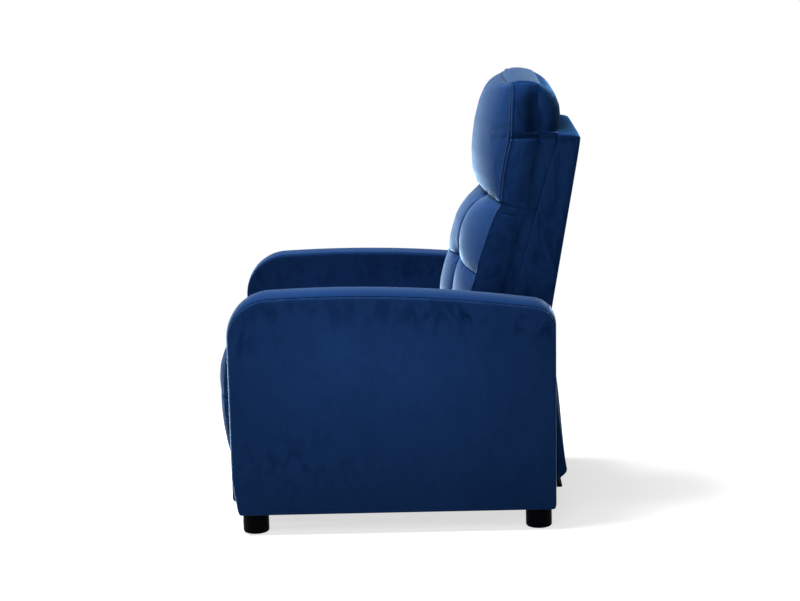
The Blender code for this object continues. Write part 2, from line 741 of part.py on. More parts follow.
def footrest_flange():
    p = foot_link_points()
    outer = INNER_X - TOUCH - 6 * PLATE_PITCH
    y = FOOT_BOARD_Y + TOUCH
    low = p["turn"][1] - FOOT_BRACKET_BELOW - FOOT_FLANGE_END
    high = p["tilt_turn"][1] + FOOT_BRACKET_ABOVE + FOOT_FLANGE_END
    return box(outer - FOOT_FLANGE_WIDTH, outer - PLATE_THICKNESS / 2, y, y + PLATE_THICKNESS, low, high)


def fuse(target, bm, name):
    """Union with a hidden tool shape."""
    mesh = bpy.data.meshes.new(name)
    bmesh.ops.recalc_face_normals(bm, faces=bm.faces)
    bm.to_mesh(mesh)
    bm.free()
    mesh.transform(Matrix.Translation(-Vector(target.parent["world"])))
    tool = bpy.data.objects.new(name, mesh)
    bpy.context.collection.objects.link(tool)
    tool.parent = target.parent
    tool.hide_render = True
    tool.display_type = "WIRE"
    union = target.modifiers.new("flange", "BOOLEAN")
    union.operation = "UNION"
    union.object = tool


def build_footrest(footrest):
    add_pair("footrest_bracket", footrest_bracket, steel(), footrest)
    for suffix, sign in SIDES:
        bm = footrest_flange()
        bmesh.ops.scale(bm, vec=(sign, 1, 1), verts=bm.verts)
        fuse(bpy.data.objects[f"footrest_bracket_{suffix}"], bm, f"flange_tool_{suffix}")
    half = CUSHION_HALF_WIDTH - FOOT_BOARD_INSET
    front = FOOT_BOARD_Y - FOOT_BOARD_THICKNESS
    board = box(-half, half, front, FOOT_BOARD_Y, FOOT_BOARD_BOTTOM_Z, FOOT_BOARD_TOP_Z)
    add_object("footrest_board", board, wood(), footrest)
    add_footrest_pad(footrest, front - TOUCH)


def add_footrest_pad(footrest, rear):
    mid_z = (FOOT_PAD_BOTTOM_Z + FOOT_PAD_TOP_Z) / 2
    half_z = (FOOT_PAD_TOP_Z - FOOT_PAD_BOTTOM_Z) / 2

    def under(u, v):
        return rear

    def face(u, v):
        z = mid_z + v * half_z
        swell = FOOT_PAD_CROWN * crown(u, 4.0, 0.5) * crown(v, 4.0, 0.5)
        sewn = FOOT_PAD_CHANNEL * groove(z - FOOT_PAD_CHANNEL_Z, SEAM_WIDTH) * crown(u, 6.0)
        return rear - FOOT_PAD_EDGE - swell + sewn

    def place(u, v, w):
        return Vector((u * CUSHION_HALF_WIDTH, w, mid_z + v * half_z))

    bm = quilt(spread(10, 0.8), spread(18), under, face, place, -CUSHION_PINCH)
    add_object("footrest_pad", bm, velvet(), footrest, SHARP_ANGLE)


def build_back(back):
    pivot = tuple(BACK_PIVOT)
    lug = tuple(BACK_LUG)
    low, high = BACK_PIVOT + BACK_BRACKET_LOW, BACK_PIVOT + BACK_BRACKET_HIGH
    outline = rounded_hull((pivot, lug, low, high), BACK_BRACKET_EDGE)
    add_pair("back_bracket",
             lambda: plate(outline, 4, [(pivot, hole_radius())], [(lug, -2)]), steel(), back)
    outer = INNER_X - TOUCH - 4 * PLATE_PITCH - PLATE_THICKNESS - TOUCH
    inner = outer - BACK_STILE_WIDTH
    add_pair("back_stile",
             lambda: slab(frame_section(BACK_FRAME_BOTTOM_Z, BACK_FRAME_TOP_Z), inner, outer), wood(), back)
    half = inner - TOUCH
    top = BACK_FRAME_TOP_Z
    low = BACK_FRAME_BOTTOM_Z
    for name, z in (("back_top_rail", top - BACK_RAIL_HEIGHT), ("back_bottom_rail", low)):
        add_object(name, slab(frame_section(z, z + BACK_RAIL_HEIGHT), -half, half), wood(), back)
    add_lumbar_cushion(back)
    add_head_pillow(back)
    add_object("back_cover", back_cover(outer), velvet(), back, SHARP_ANGLE)


def frame_section(z0, z1):
    """Side outline of the back's frame between two heights."""
    behind = BACK_COVER_WALL + TOUCH
    return ((seam_y(z0), z0), (rear_y(z0) - behind, z0), (rear_y(z1) - behind, z1), (seam_y(z1), z1))


def add_lumbar_cushion(back):
    """Lower back cushion with biscuit tufting: two sewn columns crossed by sewn rows."""
    mid_z = (LUMBAR_BOTTOM_Z + LUMBAR_TOP_Z) / 2
    half_z = (LUMBAR_TOP_Z - LUMBAR_BOTTOM_Z) / 2
    rows = (TUFT_Z, TUFT_Z - (LUMBAR_TOP_Z - TUFT_Z))

    def under(u, v):
        return seam_y(mid_z + v * half_z) - TOUCH

    def face(u, v):
        x, z = u * BACK_HALF_WIDTH, mid_z + v * half_z
        lean = LUMBAR_SIDE_LEAN if z > LUMBAR_SIDE_Z else LUMBAR_FOOT_LEAN
        side = LUMBAR_SIDE_Y + lean * (z - LUMBAR_SIDE_Z)
        column = max(groove(x - s * TUFT_X, SEAM_WIDTH) for s in (-1, 1))
        row = max(groove(z - r, SEAM_WIDTH) for r in rows)
        sewn = TUFT_SEAM * max(column, row) + TUFT_PULL * column * row
        return side - LUMBAR_CROWN * crown(u, 3.0, 0.5) * crown(v, 10.0, 0.5) + sewn * crown(u, 8.0)

    def place(u, v, w):
        return Vector((u * BACK_HALF_WIDTH, w, mid_z + v * half_z))

    bm = quilt(spread(24, 0.0), spread(16, 0.0), under, face, place, -LUMBAR_PINCH)
    add_object("lumbar_cushion", bm, velvet(), back, SHARP_ANGLE)


def add_head_pillow(back):
    """Boxed pillow that overhangs the lumbar cushion in front and the frame's top behind."""
    mid_z = (PILLOW_BOTTOM_Z + PILLOW_TOP_Z) / 2
    half_z = (PILLOW_TOP_Z - PILLOW_BOTTOM_Z) / 2

    def under(u, v):
        z = mid_z + v * half_z
        if z < BACK_TOP_Z + PILLOW_TOP_GAP:
            return seam_y(z) - TOUCH
        return PILLOW_REAR_Y + PILLOW_REAR_CROWN * crown(u) * crown(v, 6.0, 0.5)

    def face(u, v):
        z = mid_z + v * half_z
        rise = min(1.0, (z - PILLOW_BOTTOM_Z) / (BACK_TOP_Z - PILLOW_BOTTOM_Z))
        seam = PILLOW_SEAM_FOOT_Y + (PILLOW_SEAM_TOP_Y - PILLOW_SEAM_FOOT_Y) * rise
        height = crown(v, 4.0, 0.5) if v > 0 else 1.0 - PILLOW_FOOT_TUCK * v * v
        return seam - PILLOW_CROWN * crown(u, 3.0, 0.5) * height

    def place(u, v, w):
        z = mid_z + v * half_z
        drawn = max(0.0, (z - BACK_TOP_Z) / (PILLOW_TOP_Z - BACK_TOP_Z)) ** 1.5
        return Vector((u * (BACK_HALF_WIDTH - PILLOW_TOP_DRAW * drawn), w, z))

    ledge = BACK_TOP_Z + PILLOW_TOP_GAP / 2
    vs = sorted(spread(11, 0.7) + [(z - mid_z) / half_z for z in (ledge, ledge + PILLOW_LEDGE)])
    bm = quilt(spread(14, 0.7), vs, under, face, place, PILLOW_SIDE_SWELL)
    add_object("head_pillow", bm, velvet(), back, SHARP_ANGLE)


def back_cover(stile_x):
    """Cover round the rear and sides of the frame, closed over the top behind the pillow."""
    inner_x = stile_x + TOUCH
    shelf = BACK_FRAME_TOP_Z + TOUCH
    levels = []
    for k in range(BACK_COVER_ROWS + 1):
        level = BACK_COVER_BOTTOM_Z + (shelf - BACK_COVER_BOTTOM_Z) * k / BACK_COVER_ROWS
        levels.append((level, 0.0, False))
    levels += [(shelf, 0.0, True), (BACK_TOP_Z - BACK_TOP_SLOPE, BACK_TOP_FALL, True)]
    rings = []
    for z, drop, closed in levels:
        rise = (z - BACK_COVER_BOTTOM_Z) / (BACK_TOP_Z - BACK_COVER_BOTTOM_Z)
        bow = BACK_REAR_CROWN * rise
        lift = (BACK_TOP_Z - z) if drop else 0.0
        lip = seam_y(z + lift) + TOUCH
        wall = lip if closed else rear_y(z) - BACK_COVER_WALL
        corner = rear_y(z) - BACK_CORNER - drop
        outer = [(-BACK_HALF_WIDTH, lip), (-BACK_HALF_WIDTH, corner)]
        for k in range(2 * BACK_COVER_COLUMNS + 1):
            s = k / BACK_COVER_COLUMNS - 1
            y = rear_y(z) + bow * (1 - s * s) - drop
            outer.append((s * (BACK_HALF_WIDTH - BACK_CORNER), y))
        outer += [(BACK_HALF_WIDTH, corner), (BACK_HALF_WIDTH, lip)]
        if closed:
            inner = [(inner_x * (2 * k / (len(outer) - 1) - 1), lip) for k in range(len(outer))]
        else:
            inner = [(-inner_x, lip), (-inner_x, wall - BACK_CORNER)]
            inner += [(inner_x * x / (BACK_HALF_WIDTH - BACK_CORNER), wall) for x, y in outer[2:-2]]
            inner += [(inner_x, wall - BACK_CORNER), (inner_x, lip)]
        ring = [Vector((x, y, z)) for x, y in outer]
        ring += [Vector((x, y, z + lift)) for x, y in reversed(inner)]
        rings.append(ring)
    return loft(rings, True)


def add_flap(seat):
    """Loose cloth flap from the back's lower edge down to the fastening strip."""
    top = BACK_COVER_BOTTOM_Z - TOUCH
    start = rear_y(top) - BACK_COVER_WALL / 2

    def middle(u, v):
        t = (1 - v) / 2
        return start + FLAP_FLARE * t + FLAP_BULGE * t * (1 - u * u)

    def under(u, v):
        return middle(u, v) - FLAP_THICKNESS / 2

    def face(u, v):
        return middle(u, v) + FLAP_THICKNESS / 2

    def place(u, v, w):
        return Vector((u * FLAP_HALF_WIDTH, w, top + (FLAP_BOTTOM_Z - top) * (1 - v) / 2))

    bm = quilt(spread(8, 0.0), spread(8, 0.0), under, face, place, 0.0)
    add_object("rear_flap", bm, velvet(), seat, SHARP_ANGLE)


def build():
    clear_scene()
    p = foot_link_points()
    base = joint_empty("base_origin", (0.0, 0.0))
    front_swing = joint_empty("front_swing_axis", (SWING_FRONT_Y, SWING_BASE_Z), base)
    rear_swing = joint_empty("rear_swing_axis", (SWING_REAR_Y, SWING_BASE_Z), base)
    seat = joint_empty("seat_axis", swing_top(SWING_REAR_Y), rear_swing)
    back = joint_empty("recline_axis", BACK_PIVOT, seat)
    back_drive = joint_empty("back_drive_axis", BACK_DRIVE_BASE, base)
    foot_drive = joint_empty("footrest_drive_axis", swing_horn(), front_swing)
    foot_main = joint_empty("footrest_main_axis", p["main"], seat)
    foot_guide = joint_empty("footrest_guide_axis", p["guide"], seat)
    foot_carrier = joint_empty("footrest_carrier_axis", p["knee"], foot_main)
    foot_tilt = joint_empty("footrest_tilt_axis", p["tilt"], foot_main)
    footrest = joint_empty("footrest_axis", p["turn"], foot_carrier)
    build_base(base)
    build_swing_links(front_swing, rear_swing)
    build_drive_links(back_drive, foot_drive)
    build_seat(seat)
    build_back(back)
    add_flap(seat)
    build_footrest_links(foot_main, foot_guide, foot_carrier, foot_tilt)
    build_footrest(footrest)


build()
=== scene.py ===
"""Blue velvet push-back recliner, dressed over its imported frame.

The chair faces -Y, +X is the sitter's left and +Z is up. All lengths are metres.
"""
import math

import bmesh
import bpy
import numpy as np
from mathutils import Matrix, Vector, noise


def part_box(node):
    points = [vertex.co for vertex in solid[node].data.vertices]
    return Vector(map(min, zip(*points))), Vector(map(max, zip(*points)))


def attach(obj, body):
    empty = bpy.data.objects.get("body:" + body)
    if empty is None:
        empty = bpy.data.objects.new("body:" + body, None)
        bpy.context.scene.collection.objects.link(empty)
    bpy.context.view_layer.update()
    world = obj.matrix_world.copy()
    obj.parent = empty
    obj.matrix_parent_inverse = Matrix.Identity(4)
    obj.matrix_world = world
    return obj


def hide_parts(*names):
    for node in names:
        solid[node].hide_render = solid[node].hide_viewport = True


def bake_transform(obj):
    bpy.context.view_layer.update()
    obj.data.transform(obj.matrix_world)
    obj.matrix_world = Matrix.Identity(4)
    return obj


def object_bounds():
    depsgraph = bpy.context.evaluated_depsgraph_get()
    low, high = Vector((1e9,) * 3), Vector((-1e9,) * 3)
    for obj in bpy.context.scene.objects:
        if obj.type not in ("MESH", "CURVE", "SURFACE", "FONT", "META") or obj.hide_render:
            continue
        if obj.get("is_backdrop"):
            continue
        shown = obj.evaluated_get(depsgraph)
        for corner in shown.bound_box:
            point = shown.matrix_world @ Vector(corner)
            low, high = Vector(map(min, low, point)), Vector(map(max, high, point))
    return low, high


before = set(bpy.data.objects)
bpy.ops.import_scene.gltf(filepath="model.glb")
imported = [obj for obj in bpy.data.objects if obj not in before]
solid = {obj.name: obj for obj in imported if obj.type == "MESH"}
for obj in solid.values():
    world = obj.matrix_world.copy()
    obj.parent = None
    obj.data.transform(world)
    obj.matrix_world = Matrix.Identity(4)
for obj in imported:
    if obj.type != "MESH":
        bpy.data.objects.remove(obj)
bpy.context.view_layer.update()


# Frame timber: planed softwood rails and stiles, and plywood boards inside the arms.
# It is cut square, screwed together and left raw, and shows only from below and behind.
def node_adder(tree):
    """Short way to add nodes to a tree: sockets are wired or set, and settings belong to the node itself."""
    def node(kind, sockets=(), **settings):
        made = tree.nodes.new(kind)
        for key, value in settings.items():
            setattr(made, key, value)
        for key, value in dict(sockets).items():
            join(tree, value, made.inputs[key])
        return made

    return node


def join(tree, value, target):
    """Wires a socket to its target, or sets the target's own value."""
    if isinstance(value, bpy.types.NodeSocket):
        tree.links.new(value, target)
    else:
        target.default_value = value


def new_finish(name):
    """Material with a Principled shader, a short way to add nodes, and one to wire the shader's sockets."""
    mat = bpy.data.materials.new(name)
    mat.use_nodes = True
    tree = mat.node_tree
    shader = tree.nodes["Principled BSDF"]

    def wire(**sockets):
        for key, value in sockets.items():
            join(tree, value, shader.inputs[key.replace("_", " ")])

    return mat, node_adder(tree), wire


def grain_noise(node, vector, scale, detail=3.0, distortion=0.0):
    """Noise value at a vector, for grain, pile and mottling."""
    sockets = {"Vector": vector, "Scale": scale, "Detail": detail, "Distortion": distortion}
    return node("ShaderNodeTexNoise", sockets).outputs["Fac"]


def levels(node, value, stops):
    """Colour ramp with (position, linear RGB) stops."""
    made = node("ShaderNodeValToRGB", {"Fac": value})
    elements = made.color_ramp.elements
    while len(elements) < len(stops):
        elements.new(0.5)
    for element, (position, color) in zip(elements, stops):
        element.position = position
        element.color = (*color, 1.0)
    return made.outputs["Color"]


def between(node, value, low, high, from_low=0.0, from_high=1.0):
    """Value moved into a range, and kept inside it."""
    sockets = {"Value": value, "From Min": from_low, "From Max": from_high, "To Min": low, "To Max": high}
    return node("ShaderNodeMapRange", sockets).outputs["Result"]


def blended(node, factor, first, second, mode="MIX"):
    """Two colours mixed by a factor."""
    made = node("ShaderNodeMix", {0: factor, 6: first, 7: second}, data_type="RGBA", blend_type=mode)
    return made.outputs[2]


def raised(node, height, distance, strength=1.0, normal=None):
    """Normal bumped by a height, on top of another bump where one is given."""
    sockets = {"Height": height, "Distance": distance, "Strength": strength}
    if normal is not None:
        sockets["Normal"] = normal
    return node("ShaderNodeBump", sockets).outputs["Normal"]


def timber(name, stretch):
    """Raw softwood with its grain along the axis that has the small stretch."""
    mat, node, wire = new_finish(name)
    place = node("ShaderNodeTexCoord").outputs["Object"]
    along = node("ShaderNodeMapping", {"Vector": place, "Scale": stretch}).outputs["Vector"]
    rings = grain_noise(node, along, 55.0, 4.0, 1.2)
    fibre = grain_noise(node, along, 480.0, 3.0)
    tone = levels(node, rings, ((0.30, (0.33, 0.20, 0.10)), (0.48, (0.50, 0.33, 0.18)),
                                (0.70, (0.60, 0.43, 0.25))))
    streaks = levels(node, fibre, ((0.35, (0.72, 0.70, 0.68)), (0.65, (1.0, 1.0, 1.0))))
    wire(Base_Color=blended(node, 0.8, tone, streaks, "MULTIPLY"),
         Roughness=between(node, fibre, 0.62, 0.82), Normal=raised(node, fibre, 0.0006, 0.5))
    return mat


def finish_nodes(mat, *names):
    """Puts a material on CAD nodes that stay as they are."""
    for name in names:
        solid[name].data.materials.clear()
        solid[name].data.materials.append(mat)


cross_timber = timber("timber_across", (0.05, 1.0, 1.0))
side_timber = timber("timber_lengthways", (1.0, 0.05, 1.0))
upright_timber = timber("timber_upright", (1.0, 1.0, 0.05))
finish_nodes(cross_timber, "rear_rail", "seat_front_rail", "seat_rear_rail", "flap_rail", "back_top_rail",
             "back_bottom_rail")
finish_nodes(side_timber, "arm_board_left", "arm_board_right", "seat_side_rail_left", "seat_side_rail_right")
finish_nodes(upright_timber, "back_stile_left", "back_stile_right")


# Arm faces: foam under velvet, pulled over the arm board and sewn to the boxing band.
# Each face swells a little, and turns over a tight edge into the seam beside the band.
ARM_FRONT_Y, ARM_REAR_Y, ARM_REAR_LEAN, ARM_LOW_Z = -0.3695, 0.3400, 0.012, 0.0470
ARM_CREST_Y, ARM_CREST_Z, ARM_BOW = -0.140, 0.5378, 0.168
ARM_FRONT_ROUND, ARM_REAR_ROUND, ARM_LOW_ROUND = 0.098, 0.055, 0.005
ARM_TUCK, ARM_TUCK_Z, ARM_TUCK_HEIGHT = 0.0115, 0.128, 0.081
ARM_MID_X, ARM_HALF, ARM_BOARD_HALF = 0.290, 0.045, 0.0154
BAND_HALF, BAND_UNDER, BAND_CLEAR, SEAM_GAP = 0.0408, 0.0215, 0.0003, 0.0012
SEAM_INSET = {1: 0.0120, -1: 0.0040}
FRONT_INSET_SHARE, REAR_INSET_SHARE = 0.42, 0.22
FACE_ROLL_X, FACE_ROLL_IN, FACE_ROLL_RISE = 0.0026, 0.0065, 0.003
FACE_SOFT_REACH, FACE_UNEVEN, FACE_UNEVEN_SIZE = 0.035, 0.0007, 0.11
FACE_COLUMNS, FACE_ROWS = 96, 72


def velvet(name, nap, shift=(0.0, 0.0, 0.0), depth=1.0, sheen=0.6, worn=0.10,
           tint=(0.46, 0.70, 1.0), fuzz=0.32):
    """Short-pile velvet.

    nap stretches the brushed patches and shift moves them. depth scales the colour of the pile, sheen and
    fuzz are the strength and the spread of its bloom, and worn is the least share of stroke marks.
    The mesh may say where painted shade darkens the pile along sewn lines (seam), where hands have stroked it in
    marks (rub), and where painted light and shade lighten or darken it over broad areas.
    """
    mat, node, wire = new_finish(name)
    place = node("ShaderNodeTexCoord").outputs["Object"]
    brushed = node("ShaderNodeMapping", {"Vector": place, "Scale": nap, "Location": shift}).outputs["Vector"]
    broad = grain_noise(node, brushed, 5.0, 2.0, 0.4)
    strokes = grain_noise(node, brushed, 44.0, 2.0, 0.8)
    pile = grain_noise(node, place, 900.0, 2.0)
    tufts = grain_noise(node, place, 210.0, 3.0)
    dull = [depth * c for c in (0.0050, 0.0205, 0.074)]
    clear = [depth * c for c in (0.0062, 0.0245, 0.087)]
    deep = levels(node, broad, ((0.34, dull), (0.68, clear)))
    rub = node("ShaderNodeAttribute", attribute_name="rub").outputs["Fac"]
    marks = levels(node, strokes, ((0.38, (0.38, 0.48, 0.58)), (0.53, (1.0, 1.0, 1.0))))
    color = blended(node, between(node, rub, worn, 0.95), deep, marks, "MULTIPLY")
    # painted light and shade: a mesh mark scales the pile's colour from 0.4 to 1.6 where light falls or shade
    # gathers
    lay = node("ShaderNodeAttribute", attribute_name="lay").outputs["Fac"]
    color = blended(node, 1.0, color, between(node, lay, 0.4, 1.6, -0.6, 0.6), "MULTIPLY")
    speck = levels(node, pile, ((0.30, (0.80, 0.82, 0.86)), (0.70, (1.16, 1.14, 1.10))))
    color = blended(node, 0.6, color, speck, "MULTIPLY")
    # painted shade: along sewn lines the pile is darkened towards a near-black blue
    seam = node("ShaderNodeAttribute", attribute_name="seam").outputs["Fac"]
    color = blended(node, between(node, seam, 0.0, 0.75), color, (0.0008, 0.0035, 0.0140, 1.0))
    lie = raised(node, tufts, 0.0010, 0.25)
    wire(Base_Color=color, Roughness=between(node, strokes, 0.72, 0.92, 0.3, 0.7),
         Normal=raised(node, pile, 0.0005, 0.35, lie), Sheen_Weight=sheen, Sheen_Roughness=fuzz,
         Sheen_Tint=(*tint, 1.0), Specular_IOR_Level=0.0)
    return mat


def bend(center, radius, start, stop, steps=14):
    """Arc of (Y, Z) points between two angles in degrees."""
    angles = np.radians(np.linspace(start, stop, steps + 1))
    return [(center[0] + radius * math.cos(a), center[1] + radius * math.sin(a)) for a in angles]


def crest_corner(center_y, radius, inset):
    """Centre and contact angle of a corner arc that runs smoothly into the bowed crest."""
    angle = math.pi / 2
    for _ in range(8):
        y = center_y + radius * math.cos(angle)
        angle = math.atan2(1.0, 2 * ARM_BOW * (y - ARM_CREST_Y))
    crest = ARM_CREST_Z - ARM_BOW * (y - ARM_CREST_Y) ** 2 - inset
    return (center_y, crest - radius * math.sin(angle)), math.degrees(angle), y


def arm_shape(points, inset):
    """Outline with the front drawn in towards the floor, and less inset at front and rear than on the crest."""
    y, z = np.array(points).T
    ahead = np.clip((ARM_FRONT_Y + 0.10 - y) / 0.09, 0.0, 1.0)
    behind = np.clip((y - ARM_REAR_Y + 0.06) / 0.05, 0.0, 1.0)
    tuck = ARM_TUCK * np.clip((ARM_TUCK_Z - z) / ARM_TUCK_HEIGHT, 0.0, 1.0) ** 1.15
    lean = ARM_REAR_LEAN * z
    y = (y + ahead * (tuck - (1 - FRONT_INSET_SHARE) * inset)
         + behind * (lean + (1 - REAR_INSET_SHARE) * inset))
    return np.stack([y, z], axis=1)


def arm_sides(inset, rise=0.0):
    """Front, crest, rear and underside of the arm's outline, each from one corner's middle to the next."""
    floor, low = ARM_LOW_Z + rise, ARM_LOW_ROUND
    big, small = ARM_FRONT_ROUND - inset, ARM_REAR_ROUND - inset
    first, first_angle, first_y = crest_corner(ARM_FRONT_Y + ARM_FRONT_ROUND, big, inset)
    last, last_angle, last_y = crest_corner(ARM_REAR_Y - ARM_REAR_ROUND, small, inset)
    toe = (ARM_FRONT_Y + inset + low, floor + low)
    heel = (ARM_REAR_Y - inset - low, floor + low)
    top = [(y, ARM_CREST_Z - ARM_BOW * (y - ARM_CREST_Y) ** 2 - inset)
           for y in np.linspace(first_y, last_y, 40)[1:-1]]
    climb = [(ARM_FRONT_Y + inset, z) for z in np.linspace(floor + low, 0.16, 24)[1:]]
    sides = (bend(toe, low, 225, 180) + climb + bend(first, big, 180, 135),
             bend(first, big, 135, first_angle) + top + bend(last, small, last_angle, 45),
             bend(last, small, 45, 0) + bend(heel, low, 0, -45),
             bend(heel, low, -45, -90) + [(y, floor) for y in np.linspace(heel[0], toe[0], 40)[1:-1]]
             + bend(toe, low, 270, 225))
    return [arm_shape(line, inset) for line in sides]


def along(points, shares):
    """Points at shares of the way along a polyline."""
    points = np.asarray(points, float)
    run = np.concatenate([[0.0], np.cumsum(np.linalg.norm(np.diff(points, axis=0), axis=1))])
    spots = np.asarray(shares) * run[-1]
    return np.stack([np.interp(spots, run, points[:, k]) for k in range(points.shape[1])], axis=1)


def eased(count, ease):
    """Shares from 0 to 1 that crowd together at both ends."""
    t = np.linspace(0.0, 1.0, count + 1)
    return t - ease * np.sin(2 * math.pi * t) / (2 * math.pi)


def ripple(points, size, seed):
    """Smooth value from -1 to 1 at each point, for the slight unevenness of padding."""
    return np.array([noise.noise(Vector(p) / size + Vector((seed, seed, seed))) for p in points])


def put(name, data):
    """New object in the scene, at the origin."""
    obj = bpy.data.objects.new(name, data)
    bpy.context.scene.collection.objects.link(obj)
    return obj


def new_piece(name, points, faces, mat, **marks):
    """Closed piece in its place, with smooth faces that point outwards and named marks on its points."""
    mesh = bpy.data.meshes.new(name)
    mesh.from_pydata([tuple(p) for p in points], [], faces)
    for key, values in marks.items():
        mark = mesh.attributes.new(key, "FLOAT", "POINT")
        mark.data.foreach_set("value", np.asarray(values, np.float32))
    bm = bmesh.new()
    bm.from_mesh(mesh)
    bmesh.ops.recalc_face_normals(bm, faces=bm.faces)
    bm.to_mesh(mesh)
    bm.free()
    mesh.shade_smooth()
    mesh.materials.append(mat)
    return put(name, mesh)


def dress(obj, body, slot, *replaced):
    """The piece rides on a body and stands for CAD nodes, which it hides; slot is not used."""
    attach(obj, body)
    if replaced:
        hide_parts(*replaced)
    return obj


def arm_rub(y, z):
    """Hands stroke the pile dark below the crest, most at the rear, at the front corner, and faintly low down."""
    below = ARM_CREST_Z - ARM_BOW * (y - ARM_CREST_Y) ** 2 - z
    high = math.exp(-((below - 0.045) / 0.030) ** 2) * min(1.0, max(0.45, 0.55 + 3.0 * y))
    corner = 0.7 * math.exp(-((z - 0.43) / 0.035) ** 2 - ((y + 0.335) / 0.022) ** 2)
    low = 0.45 * math.exp(-((z - 0.16) / 0.05) ** 2 - ((y + 0.22) / 0.12) ** 2)
    return max(high, corner, low)


def arm_lay(y, z):
    """Painted light and shade: lightest over the upper middle of the face, darker towards the floor and the rear.
    """
    low = 0.12 * math.exp(-((z - 0.08) / 0.07) ** 2)
    return 0.50 * math.exp(-((y + 0.08) / 0.26) ** 2 - ((z - 0.40) / 0.15) ** 2) - low - 0.14


def arm_face(name, side, facing, fullness, seed, mat):
    """One padded face. side is +1 on the sitter's left, facing +1 away from the seat."""
    us, vs = eased(FACE_COLUMNS, 0.8), eased(FACE_ROWS, 0.8)
    sewn = SEAM_INSET[facing]
    beside = BAND_HALF + BAND_CLEAR
    # the last number of each ring is painted shade: the pile darkened in the seam groove, fading over the start of
    # the roll
    rings = [(ARM_BOARD_HALF, BAND_UNDER, 0.0, 0.0), (beside, BAND_UNDER, 0.0, 1.0),
             (beside, sewn + 0.0040, 0.0, 1.0), (BAND_HALF + SEAM_GAP, sewn + 0.0024, 0.0, 1.0),
             (BAND_HALF + SEAM_GAP + 0.0002, sewn + 0.0006, 0.0, 0.9)]
    for angle in np.radians(np.linspace(0, 90, 9)):
        turn, fall = 1 - math.sin(angle), 1 - math.cos(angle)
        rings.append((ARM_HALF - FACE_ROLL_X * turn, sewn + FACE_ROLL_IN * fall, FACE_ROLL_RISE * fall,
                      0.5 * max(0.0, 1 - 2 * angle)))
    points, seam = [], []
    shares = (vs, us, vs, us)
    for out, inset, rise, shade in rings[:-1]:
        for line, share in zip(arm_sides(inset, rise), shares):
            for y, z in along(line, share)[:-1]:
                points.append((out, y, z))
                seam.append(shade)
    out, inset, rise, shade = rings[-1]
    front, top, rear, under = (along(line, share)
                               for line, share in zip(arm_sides(inset, rise), shares))
    low, back = under[::-1], rear[::-1]
    u, v = us[:, None, None], vs[None, :, None]
    patch = ((1 - v) * low[:, None] + v * top[:, None] + (1 - u) * front[None] + u * back[None]
             - (1 - u) * (1 - v) * low[0] - u * (1 - v) * low[-1] - (1 - u) * v * top[0] - u * v * top[-1])
    loop = ([(0, j) for j in range(FACE_ROWS)] + [(i, FACE_ROWS) for i in range(FACE_COLUMNS)]
            + [(FACE_COLUMNS, j) for j in range(FACE_ROWS, 0, -1)]
            + [(i, 0) for i in range(FACE_COLUMNS, 0, -1)])
    edge = np.array([patch[i, j] for i, j in loop])
    flat = patch.reshape(-1, 2)
    away = np.array([np.min(np.hypot(*(edge - p).T)) for p in flat])
    uneven = FACE_UNEVEN * ripple([(side * 0.3, y, z) for y, z in flat], FACE_UNEVEN_SIZE, seed)
    height = out + (fullness + uneven) * (1 - np.exp(-away / FACE_SOFT_REACH))
    count = len(points)
    points += [(h, y, z) for h, (y, z) in zip(height, flat)]
    seam += [0.0] * len(flat)
    faces = []
    size = len(loop)
    inner = [count + i * (FACE_ROWS + 1) + j for i, j in loop]
    starts = [[r * size + k for k in range(size)] for r in range(len(rings) - 1)] + [inner]
    for a, b in zip(starts, starts[1:]):
        faces += [(a[k], a[(k + 1) % size], b[(k + 1) % size], b[k]) for k in range(size)]
    faces.append(tuple(starts[0]))
    for i in range(FACE_COLUMNS):
        for j in range(FACE_ROWS):
            k = count + i * (FACE_ROWS + 1) + j
            faces.append((k, k + FACE_ROWS + 1, k + FACE_ROWS + 2, k + 1))
    placed = [(side * (ARM_MID_X + facing * x), y, z) for x, y, z in points]
    return new_piece(name, placed, faces, mat, seam=seam, rub=[arm_rub(y, z) for x, y, z in points],
                     lay=[arm_lay(y, z) for x, y, z in points])


outer_velvet = velvet("velvet_arm_outer", (1.0, 0.75, 0.45), worn=0.16)
# painted shade: the inner faces, in the shade between the arms, take a darker copy with less sheen
inner_velvet = velvet("velvet_arm_inner", (1.0, 0.75, 0.45), (0.4, 0.6, 0.1), 0.70, 0.3)
for suffix, side in (("left", 1), ("right", -1)):
    for kind, facing, fullness, mat in (("outer", 1, 0.0012, outer_velvet),
                                        ("inner", -1, -0.0008, inner_velvet)):
        face = arm_face(f"arm_{kind}_face_{suffix}", side, facing, fullness, 3.0 * side + facing, mat)
        dress(face, "base", "velvet", f"arm_{kind}_pad_{suffix}")


# Arm band: a velvet strip that runs up the front of the arm, over the crest and down the rear.
# It is sewn to both faces, crowned over its foam, and stapled under the arm at its ends.
BAND_CROWN = ((0.0, 0.0), (0.2, 0.024), (0.4, 0.095), (0.6, 0.22), (0.78, 0.41), (0.9, 0.62), (0.96, 0.80),
              (0.99, 0.93))
BAND_SEAM_DEPTH = 0.0032


